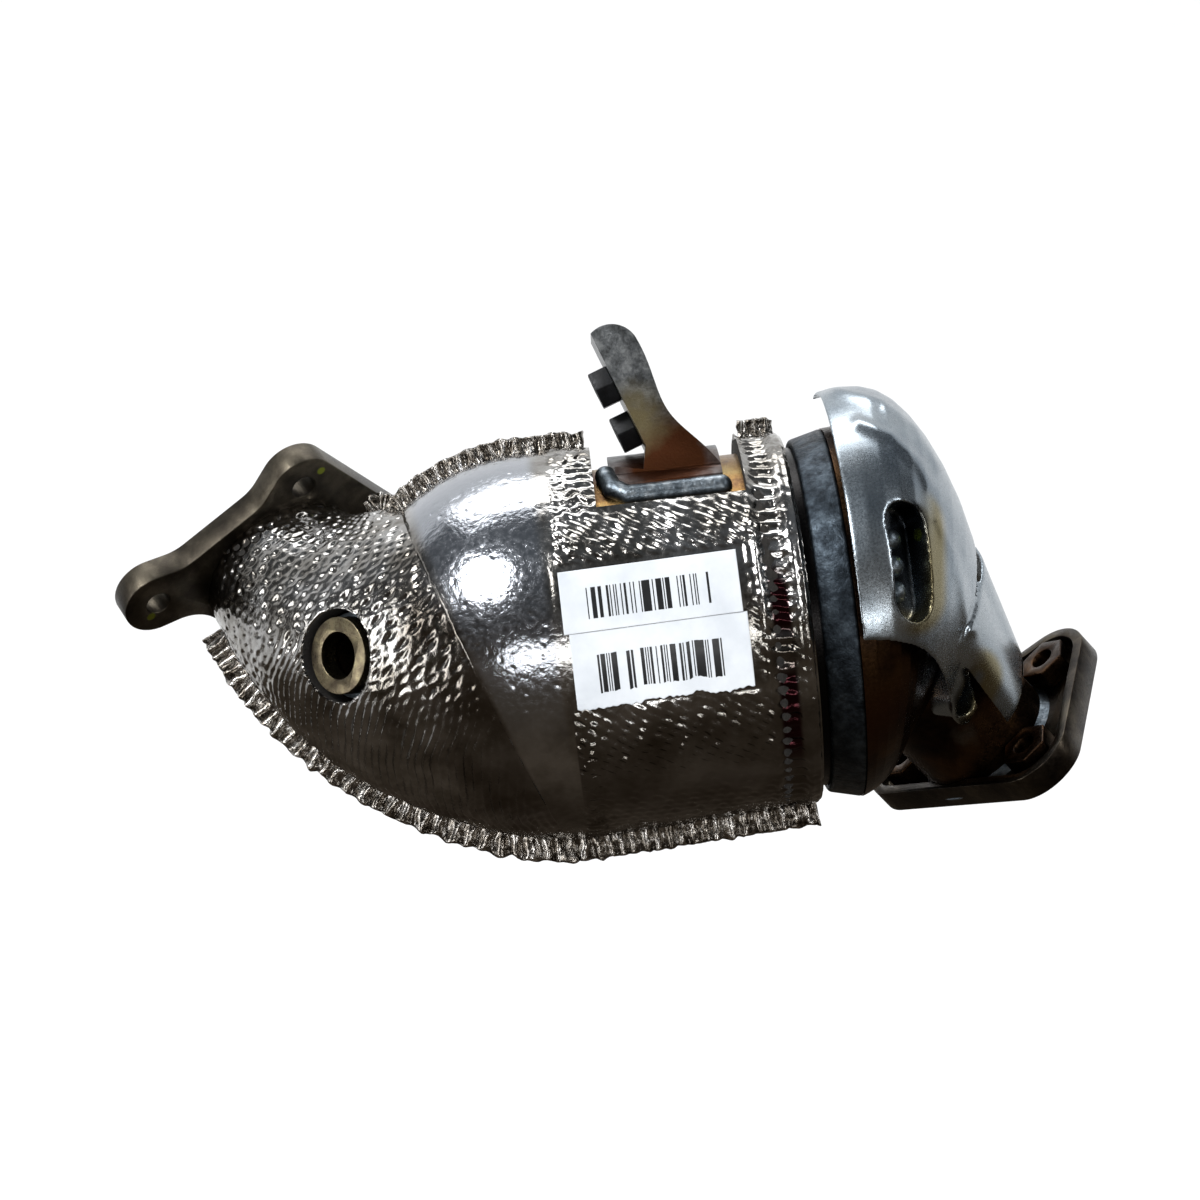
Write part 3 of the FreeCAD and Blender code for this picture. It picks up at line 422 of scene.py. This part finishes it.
def foilPiece(name, side, runLow, runHigh, columns, rows, replaced):
    # a grid carried onto the jacket and embossed there
    bm = bmesh.new()
    bmesh.ops.create_grid(bm, x_segments=columns, y_segments=rows, size=0.5)
    layers = {key: bm.verts.layers.float.new(key) for key in ("dome", "brown", "stain")}
    look = jacketLook
    runs = []
    domeShare = look["domeShare"]
    for i in range(columns + 1):
        share = i / columns
        if runHigh > 1:  # dome and can: a set share of the columns goes to the dome
            runs.append(1 + share / domeShare if share < domeShare else 2 + (share - domeShare) / (1 - domeShare))
        else:
            runs.append(runLow + (runHigh - runLow) * share)
    points, alongs, arcs = {}, {}, {}
    for j in range(rows + 1):
        total, angle = 0.0, side * math.pi * j / rows
        for i in range(columns + 1):
            points[i, j] = onJacket(runs[i], angle)
            total += (points[i, j] - points[i - 1, j]).length if i else 0
            alongs[i, j] = total
    for i in range(columns + 1):
        total = 0.0
        for j in range(rows + 1):
            total += (points[i, j] - points[i, j - 1]).length if j else 0
            arcs[i, j] = total
    for vert in bm.verts:
        i, j = round((vert.co.x + 0.5) * columns), round((vert.co.y + 0.5) * rows)
        point, angle = points[i, j], side * math.pi * j / rows
        ahead = points[min(columns, i + 1), j] - points[max(0, i - 1), j]
        aside = points[i, min(rows, j + 1)] - points[i, max(0, j - 1)]
        normal = ahead.cross(aside).normalized()
        centre = hornCentre(runs[i]) if runs[i] < 1 else Vector((point.x, canAt.y, canAt.z))
        if normal.dot(point - centre) < 0:
            normal = -normal
        local = point - canAt
        vert.co = point + normal * relief(runs[i], angle, local, alongs[i, j], arcs[i, j], arcs[i, rows])
        bend = noise.noise(Vector((local.x / 20, local.y / 20, local.z / 20)))
        # painted highlight: the dome is paled above, fading out towards its lower side
        paintedSheen = within(*look["domePaintedSheen"], runs[i]) * (1 - smoothStep(*look["domeFade"], -local.z))
        vert[layers["dome"]] = paintedSheen if runs[i] > 1 else 0
        # painted shade in brown: crease, belly, underside and foot
        vert[layers["brown"]] = paintedBrownShade(runs[i], angle, local, bend)
        vert[layers["stain"]] = (within(*look["stainAlong"], local.x) * within(*look["stainUp"], local.z)
                                 * smoothStep(*look["stainEdge"], bend))
    if side > 0 and runHigh <= 1:
        # sensor opening: its edge is drawn onto the round, then turned in
        for vert in bm.verts:
            offset = vert.co - bossFace
            radial = offset - bossOut * offset.dot(bossOut)
            if abs(radial.length - look["boss"]) < look["bossEdge"] and offset.dot(bossOut) > -look["bossReach"]:
                vert.co += radial.normalized() * (look["boss"] - radial.length)
        inside = []
        for face in bm.faces:
            offset = face.calc_center_median() - bossFace
            if offset.cross(bossOut).length < look["boss"] - 0.02 and offset.dot(bossOut) > -look["bossReach"]:
                inside.append(face)
        bmesh.ops.delete(bm, geom=inside, context="FACES")
        rim = [edge for edge in bm.edges if edge.is_boundary
               and (edge.verts[0].co - bossFace).cross(bossOut).length < look["boss"] + 1.0
               and (edge.verts[0].co - bossFace).dot(bossOut) > -look["bossReach"]]
        turned = bmesh.ops.extrude_edge_only(bm, edges=rim)
        turnedVerts = [item for item in turned["geom"] if isinstance(item, bmesh.types.BMVert)]
        bmesh.ops.translate(bm, vec=bossOut * -look["rimDepth"], verts=turnedVerts)
    if runHigh > 1:
        start, end, height = look["window"]
        for spot, way in (((start, 0, 0), (1, 0, 0)), ((end, 0, 0), (1, 0, 0)), ((0, 0, height), (0, 0, 1))):
            everything = bm.verts[:] + bm.edges[:] + bm.faces[:]
            bmesh.ops.bisect_plane(bm, geom=everything, plane_co=atCan(*spot), plane_no=way)
        gone = []
        for face in bm.faces:
            local = face.calc_center_median() - canAt
            if start < local.x < end and local.z > height and local.y < look["windowBack"]:
                gone.append(face)
        bmesh.ops.delete(bm, geom=gone, context="FACES")
    finished(bm, name, foilMetal, replaced)


foilPiece("foil_elbow_front", 1, 0.0, 1.0, 250, 330, ["foil_shell_front"])
foilPiece("foil_can_front", 1, 1.0, 3.0, 290, 330, [])
foilPiece("foil_elbow_rear", -1, 0.0, 1.0, 150, 190, ["foil_shell_rear"])
foilPiece("foil_can_rear", -1, 1.0, 3.0, 200, 220, [])


hemLook = {
    "upperWidth": 7.4, "lowerWidth": 10.3, "pitch": 4.0, "step": 0.45, "rows": 10, "fold": 1.5, "wall": 0.45,
    "upperSpans": ((0.22, 2.17), (2.83, 2.985)), "lowerSpans": ((0.02, 2.985),), "search": 0.0012, "reach": 0.004,
    "sharpness": 0.55, "height": (0.90, 0.14), "crumple": 0.55, "foldGrowth": 0.6, "sunk": 0.4, "sway": 1.2,
    "recessShadeLift": (0.2, 1.4), "recessShadeRoot": (0.03, 0.16),
}


def hemPlaces():
    # evenly stepped places along both seams, with the way that the hem stands out
    found = []
    for angle, spans in ((0.0, hemLook["upperSpans"]), (math.pi, hemLook["lowerSpans"])):
        for low, high in spans:
            places, run = [], low
            while run < high:
                point = onJacket(run, angle)
                after = onJacket(min(3, run + hemLook["reach"]), angle)
                ahead = (after - onJacket(max(0, run - hemLook["reach"]), angle)).normalized()
                outward = ahead.cross(sideways).normalized()
                inner = hornCentre(run) if run < 1 else Vector((point.x, canAt.y, canAt.z))
                if outward.dot(point - inner) < 0:
                    outward = -outward
                if not places or (point - places[-1][0]).length >= hemLook["step"]:
                    places.append((point, outward, ahead, angle > 1))
                run += hemLook["search"]
            found.append(places)
    return found


bm = bmesh.new()
valley = bm.verts.layers.float.new("valley")
for places in hemPlaces():
    count, rows = len(places) - 1, hemLook["rows"]
    made = bmesh.ops.create_grid(bm, x_segments=count, y_segments=rows, size=0.5)
    phase = dice.random() * 6
    for vert in made["verts"]:
        i, j = round((vert.co.x + 0.5) * count), round((vert.co.y + 0.5) * rows)
        point, outward, ahead, low = places[i]
        share, along = j / rows, i * hemLook["step"]
        wobble = noise.noise(Vector((along / 6, share * 0.7, phase)))
        fold = math.sin(2 * math.pi * along / hemLook["pitch"] + 3.0 * wobble + phase)
        sharp = math.copysign(abs(fold) ** hemLook["sharpness"], fold)
        wide = hemLook["lowerWidth"] if low else hemLook["upperWidth"]
        evenHeight, unevenHeight = hemLook["height"]
        tall = wide * (evenHeight + unevenHeight * noise.noise(Vector((along / 3.2, 1.0, phase))))
        crumple = hemLook["crumple"] * noise.noise(Vector((along / 1.5, share * 4, phase)))
        lift = hemLook["fold"] * sharp * share ** hemLook["foldGrowth"] + crumple
        vert.co = (point + outward * (tall * share - hemLook["sunk"]) + sideways * lift
                   + ahead * (hemLook["sway"] * share * noise.noise(Vector((along / 3.0, share * 2.4, phase + 5)))))
        # painted shade: darker at the hem's root and in the set-back folds
        rooted = 1 - smoothStep(*hemLook["recessShadeRoot"], share)
        vert[valley] = min(1, 0.55 * smoothStep(*hemLook["recessShadeLift"], lift) + 0.9 * rooted)
hem = finished(bm, "crimped_hem", crimpMetal)
wall = hem.modifiers.new("wall", "SOLIDIFY")
wall.thickness, wall.offset = hemLook["wall"] * mm, 0
print("jacket done")


def stickerFinish(name, seed):
    # white film with a block of meaningless bars, on the sticker's own UV map
    made = labelFilm.copy()
    made.name = name
    tree = made.node_tree
    shader = tree.nodes["Principled BSDF"]
    white = shader.inputs["Base Color"].links[0].from_socket
    place = addNode(tree, "SeparateXYZ", links={0: addNode(tree, "UVMap").outputs["UV"]})
    left, right, bottom, top = stickerLook["bars"]
    cells = (stickerLook["upper"]["x"][1] - stickerLook["upper"]["x"][0]) / stickerLook["barPitch"]
    cell = addNode(tree, "Math", {"operation": "MULTIPLY", 1: cells}, {0: place.outputs["X"]}).outputs[0]
    cell = addNode(tree, "Math", {"operation": "FLOOR"}, {0: cell}).outputs[0]
    cell = addNode(tree, "Math", {"operation": "ADD", 1: seed}, {0: cell}).outputs[0]
    stripe = addNode(tree, "TexWhiteNoise", {"noise_dimensions": "1D"}, {"W": cell}).outputs["Value"]
    share = addNode(tree, "Math", {"operation": "GREATER_THAN", 1: stickerLook["barShare"]}, {0: stripe}).outputs[0]
    limits = (("X", "GREATER_THAN", left), ("X", "LESS_THAN", right),
              ("Y", "GREATER_THAN", bottom), ("Y", "LESS_THAN", top))
    for axis, test, limit in limits:
        passed = addNode(tree, "Math", {"operation": test, 1: limit}, {0: place.outputs[axis]}).outputs[0]
        share = addNode(tree, "Math", {"operation": "MULTIPLY"}, {0: share, 1: passed}).outputs[0]
    printed = addNode(tree, "Mix", {"data_type": "RGBA", mixOver: colour(stickerLook["ink"])},
                      {mixShare: share, mixUnder: white}).outputs[mixResult]
    tree.links.new(printed, shader.inputs["Base Color"])
    return made


for key in ("upper", "lower"):
    look = stickerLook[key]
    bm = bmesh.new()
    bmesh.ops.create_grid(bm, x_segments=150, y_segments=56, size=0.5)
    uv = bm.loops.layers.uv.new("UVMap")
    for face in bm.faces:
        for loop in face.loops:
            loop[uv].uv = (loop.vert.co.x + 0.5, loop.vert.co.y + 0.5)
    for vert in bm.verts:
        u, v = vert.co.x + 0.5, vert.co.y + 0.5
        tear = 2.4 * max(0, noise.noise(Vector((u * 8, 0.3, 1.0))) + 0.2) + 0.8 * noise.noise(Vector((u * 38, 2, 0)))
        bottom = look["z"][0] + look["torn"] * tear
        x = look["x"][0] + (look["x"][1] - look["x"][0]) * u
        z = bottom + (look["z"][1] - bottom) * v + stickerLook["slope"] * (u - 0.5)
        radius = canProfile(x) + look["proud"]
        radius += 0.16 * noise.noise(Vector((x / 11, z / 11, 4.0))) + 0.05 * noise.noise(Vector((x / 3, z / 3, 9.0)))
        radius += 0.35 * smoothStep(0.44, 0.5, abs(u - 0.5)) * smoothStep(0.3, 0.5, abs(v - 0.5))  # lifted corners
        theta = math.asin(z / radius)
        vert.co = atCan(x, -radius * math.cos(theta), radius * math.sin(theta))
    filmFinish = stickerFinish("sticker film " + key, look["seed"])
    film = finished(bm, "sticker_" + key, filmFinish, ["label_" + key])
    wall = film.modifiers.new("film", "SOLIDIFY")
    wall.thickness, wall.offset = stickerLook["film"] * mm, -1
print("stickers done")


shieldLook = {
    "voxel": 0.6, "smooth": 9, "ribHeight": 1.2, "ribWidth": 2.4, "wave": 0.25, "waveSize": 18,
    "recessShadeEdge": (-6, 5), "recessShadeSlant": 0.35, "strawRim": (4.5, 3.5, 2.0), "strawShare": 0.75,
    "ribs": (((93.0, 77.0), (107.0, 71.0), (118.0, 60.0), (124.0, 46.0)),
             ((97.0, 64.0), (107.0, 58.0), (115.0, 48.0), (118.0, 40.0)),
             ((119.0, 27.0), (123.0, 15.0), (126.0, 2.0), (127.0, -10.0))),
    # centre line and half width of each pocket, painted dark inside as shade, less towards one side; its welds' heat
    # left straw
    "pockets": ((((105.5, 3.1), (108.5, 27.9)), 9.0), (((123.7, -35.1), (129.3, -26.9)), 6.0)),
}


def lineGap(x, z, points):
    best = 1e9
    for (ax, az), (bx, bz) in zip(points, points[1:]):
        dx, dz = bx - ax, bz - az
        share = min(1, max(0, ((x - ax) * dx + (z - az) * dz) / (dx * dx + dz * dz)))
        best = min(best, math.hypot(x - ax - share * dx, z - az - share * dz))
    return best


# the sheet's skirt over the outlet pipe: a flaring sleeve round the pipe's axis, lapped under the tongue
skirtLook = {
    "mouth": (119.5, 11.9, -31.0), "tilt": 51.6, "swing": 20.5, "reach": (-31.0, 10.5), "radius": 30.2, "flare": 0.33,
    "turn": (-42.0, 80.0), "lapFrom": 36.0, "lap": 8.0, "sheet": 1.3,
}


def addSkirt(bm):
    look = skirtLook
    tilt, swing = math.radians(look["tilt"]), math.radians(look["swing"])
    axis = Vector((math.cos(tilt) * math.cos(swing), math.sin(swing), -math.sin(tilt) * math.cos(swing)))
    up = axis.cross(sideways).normalized()
    front = axis.cross(up)
    skirt = bmesh.ops.create_grid(bm, x_segments=40, y_segments=60, size=0.5)["verts"]
    for vert in skirt:
        along = look["reach"][0] + (look["reach"][1] - look["reach"][0]) * (vert.co.x + 0.5)
        degrees = look["turn"][0] + (look["turn"][1] - look["turn"][0]) * (vert.co.y + 0.5)
        radius = look["radius"] + look["flare"] * (look["reach"][1] - along)
        radius += look["lap"] * smoothStep(look["lapFrom"], look["turn"][1], degrees)
        angle = math.radians(degrees)
        out = up * math.cos(angle) + front * math.sin(angle)
        vert.co = (atCan(*look["mouth"]) + axis * along + out * radius) * mm
    faces = list({face for vert in skirt for face in vert.link_faces})
    bmesh.ops.recalc_face_normals(bm, faces=faces)
    bmesh.ops.solidify(bm, geom=faces, thickness=look["sheet"] * mm)


def shieldForm(nodeName, voxel):
    # the CAD node's shape and its skirt, joined in even faces, in millimetres
    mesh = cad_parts[nodeName].data.copy()
    work = bpy.data.objects.new("work", mesh)
    bpy.context.collection.objects.link(work)
    bm = bmesh.new()
    bm.from_mesh(mesh)
    bmesh.ops.remove_doubles(bm, verts=bm.verts, dist=0.00001)
    addSkirt(bm)
    bm.to_mesh(mesh)
    bm.free()
    rebuild = work.modifiers.new("rebuild", "REMESH")
    rebuild.mode, rebuild.voxel_size = "VOXEL", voxel * mm
    bpy.context.view_layer.update()
    even = bpy.data.meshes.new_from_object(work.evaluated_get(bpy.context.evaluated_depsgraph_get()))
    bpy.data.objects.remove(work)
    bm = bmesh.new()
    bm.from_mesh(even)
    bmesh.ops.scale(bm, vec=(1 / mm, 1 / mm, 1 / mm), verts=bm.verts)
    return bm


bm = shieldForm("heat_shield", shieldLook["voxel"])
recessShade, straw = bm.verts.layers.float.new("recessShade"), bm.verts.layers.float.new("straw")
for _ in range(shieldLook["smooth"]):
    bmesh.ops.smooth_vert(bm, verts=bm.verts, factor=0.5, use_axis_x=True, use_axis_y=True, use_axis_z=True)
for vert in bm.verts:
    local = vert.co - canAt
    out = Vector((0.25, local.y, local.z)).normalized()
    lift = shieldLook["wave"] * noise.noise(local / shieldLook["waveSize"])
    if local.y < 0:
        for line in shieldLook["ribs"]:
            gap = lineGap(local.x, local.z, line)
            lift += shieldLook["ribHeight"] * math.exp(-(gap / shieldLook["ribWidth"]) ** 2)
        for line, halfWidth in shieldLook["pockets"]:
            gap = lineGap(local.x, local.z, line)
            # painted shade inside the pocket, lighter towards one side
            across = (local.x - line[0][0]) - shieldLook["recessShadeSlant"] * (local.z - line[0][1])
            side = smoothStep(*shieldLook["recessShadeEdge"], across)
            inside = 1 - smoothStep(halfWidth - 3.0, halfWidth - 0.5, gap)
            vert[recessShade] = max(vert[recessShade], inside * (1 - 0.75 * side))
            inner, outer, fade = shieldLook["strawRim"]
            rim = within(halfWidth - inner, halfWidth + outer, fade, gap)
            vert[straw] = max(vert[straw], shieldLook["strawShare"] * side * rim)
    vert.co += out * lift
finished(bm, "shield_sheet", shieldMetal, ["heat_shield"])


# plates, nuts and rings as cut, with their arrises eased: width, segments and record slot
easedEdges = {
    "inlet_flange": (0.9, 3, "flange_steel"), "outlet_flange": (0.5, 2, "tray_steel"),
    "bracket": (0.7, 3, "bracket_steel"), "bracket_nuts": (0.6, 2, "nut_steel"),
    "outlet_weld_nuts": (0.6, 2, "nut_steel"), "sensor_boss": (0.8, 3, "boss_steel"), "can_band": (1.2, 3, "band_steel"),
}
for nodeName, (width, segments, slotName) in easedEdges.items():
    bm = bmesh.new()
    bm.from_mesh(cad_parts[nodeName].data)
    bmesh.ops.scale(bm, vec=(1 / mm, 1 / mm, 1 / mm), verts=bm.verts)
    bmesh.ops.remove_doubles(bm, verts=bm.verts, dist=0.01)
    bmesh.ops.dissolve_limit(bm, angle_limit=math.radians(1.0), verts=bm.verts, edges=bm.edges)
    piece = finished(bm, nodeName + "_eased", nodeMetals[nodeName], [nodeName])
    eased = piece.modifiers.new("eased", "BEVEL")
    eased.width, eased.segments, eased.limit_method = width * mm, segments, "ANGLE"
    eased.angle_limit = math.radians(35)  # only the plate edges, not the facets of holes
    eased.harden_normals = True
print("plates done")


# pale floor well below, swept up into the wall behind
bm = bmesh.new()
bmesh.ops.create_grid(bm, x_segments=1, y_segments=24, size=1)
for vert in bm.verts:
    share = (vert.co.y + 1) / 2
    if share < 0.6:
        y, z = -3 + 4.0 * share / 0.6, 0
    elif share < 0.85:
        bend = (share - 0.6) / 0.25 * math.pi / 2
        y, z = 1.0 + 0.9 * math.sin(bend), 0.9 - 0.9 * math.cos(bend)
    else:
        y, z = 1.9, 0.9 + (share - 0.85) / 0.15 * 3
    vert.co = (vert.co.x * 4 + 0.12, y, z + cadLow.z - 0.2)
mesh = bpy.data.meshes.new("sweep")
bm.to_mesh(mesh)
bm.free()
for face in mesh.polygons:
    face.use_smooth = True
sweepPaint = bpy.data.materials.new("pale backdrop paper")  # matt white paper
sweepPaint.use_nodes = True
tree = sweepPaint.node_tree
paperPlace = addNode(tree, "TexCoord").outputs["Object"]
paper = addNode(tree, "TexNoise", {"Scale": 40.0, "Detail": 2.0}, {"Vector": paperPlace})
shade = addNode(tree, "MapRange", {"To Min": 0.88, "To Max": 0.92}, {"Value": paper.outputs["Fac"]})
tree.links.new(shade.outputs["Result"], tree.nodes["Principled BSDF"].inputs["Base Color"])
tree.nodes["Principled BSDF"].inputs["Roughness"].default_value = 0.9
mesh.materials.append(sweepPaint)
sweep = bpy.data.objects.new("sweep", mesh)
bpy.context.collection.objects.link(sweep)
sweep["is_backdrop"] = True

# dark flag round the camera's side and a card below, seen only in reflections: it glows dimly, brown below and grey
# above, so that bright metal has something dark to show
flagLook = {"radius": 1.9, "heights": (-1.2, 1.5), "shades": ("#4E463D", "#34302C", "#5C6064"),
            "card": (0.9, 0.75, 0.06)}
flagGlow = bpy.data.materials.new("dim flag glow")
flagGlow.use_nodes = True
tree = flagGlow.node_tree
tree.nodes.remove(tree.nodes["Principled BSDF"])
height = addNode(tree, "SeparateXYZ", links={0: addNode(tree, "TexCoord").outputs["Object"]}).outputs["Z"]
low, high = flagLook["heights"]
share = addNode(tree, "MapRange", {"From Min": low, "From Max": high}, {"Value": height}).outputs["Result"]
ramp = addNode(tree, "ValToRGB", links={"Fac": share})
ramp.color_ramp.elements.new(0.5)
for element, place, hexValue in zip(ramp.color_ramp.elements, (0.36, 0.55, 1.0), flagLook["shades"]):
    element.position = place
    element.color = colour(hexValue)
glow = addNode(tree, "Emission", links={"Color": ramp.outputs["Color"]})
tree.links.new(glow.outputs[0], tree.nodes["Material Output"].inputs["Surface"])
bm = bmesh.new()
bmesh.ops.create_uvsphere(bm, u_segments=48, v_segments=24, radius=flagLook["radius"])
away = [face for face in bm.faces if face.calc_center_median().y > 0.35]
bmesh.ops.delete(bm, geom=away, context="FACES")
bmesh.ops.translate(bm, vec=(0.12, -0.05, -0.05), verts=bm.verts)
halfWidth, halfDepth, below = flagLook["card"]
card = bmesh.ops.create_grid(bm, x_segments=1, y_segments=1, size=1)["verts"]
bmesh.ops.scale(bm, vec=(halfWidth, halfDepth, 1), verts=card)
bmesh.ops.translate(bm, vec=(0.12, -0.15, cadLow.z - below), verts=card)
mesh = bpy.data.meshes.new("flag")
bm.to_mesh(mesh)
bm.free()
mesh.materials.append(flagGlow)
flag = bpy.data.objects.new("flag", mesh)
bpy.context.collection.objects.link(flag)
flag.visible_camera = flag.visible_diffuse = flag.visible_shadow = False
flag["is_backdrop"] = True

# soft boxes: name, place, width, height, watts
lamps = (
    ("keyLamp", (-0.55, -1.0, 1.0), 0.55, 0.40, 16),
    ("sideLamp", (-1.2, -0.5, 0.1), 0.25, 0.90, 5),
    ("fillLamp", (1.2, -0.9, 0.5), 0.20, 0.70, 4),
    ("topLamp", (0.1, 0.2, 1.2), 1.20, 0.50, 9),
    ("lowLamp", (0.2, -1.25, -0.14), 1.00, 0.07, 2.5),
)
aim = Vector((0.12, -0.046, -0.04))
for name, spot, width, height, watts in lamps:
    data = bpy.data.lights.new(name, "AREA")
    data.shape, data.size, data.size_y, data.energy = "RECTANGLE", width, height, watts
    lamp = bpy.data.objects.new(name, data)
    lamp.location = spot
    lamp.rotation_euler = (aim - Vector(spot)).to_track_quat("-Z", "Y").to_euler()
    bpy.context.collection.objects.link(lamp)

world = bpy.data.worlds.new("studio")
world.use_nodes = True
world.node_tree.nodes["Background"].inputs["Color"].default_value = colour("#F2F3F4")
world.node_tree.nodes["Background"].inputs["Strength"].default_value = 0.9
bpy.context.scene.world = world

# camera square to the can's side from 1 m, rolled so that the can runs slightly downhill
cameraLook = {"lens": 83.33, "distance": 1000.0, "roll": 6.6, "centre": (1.65, 14.3)}
cameraData = bpy.data.cameras.new("camera")
cameraData.lens, cameraData.sensor_width = cameraLook["lens"], 36
camera = bpy.data.objects.new("camera", cameraData)
roll = math.radians(cameraLook["roll"])
right = Vector((math.cos(roll), 0, -math.sin(roll)))
up = Vector((math.sin(roll), 0, math.cos(roll)))
x, z = cameraLook["centre"]
facing = Matrix((right, up, Vector((0, -1, 0)))).transposed().to_4x4()
camera.matrix_world = Matrix.Translation(atCan(x, -cameraLook["distance"], z) * mm) @ facing
bpy.context.collection.objects.link(camera)
bpy.context.scene.camera = camera
bpy.context.scene.view_settings.view_transform = "Standard"

low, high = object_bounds()
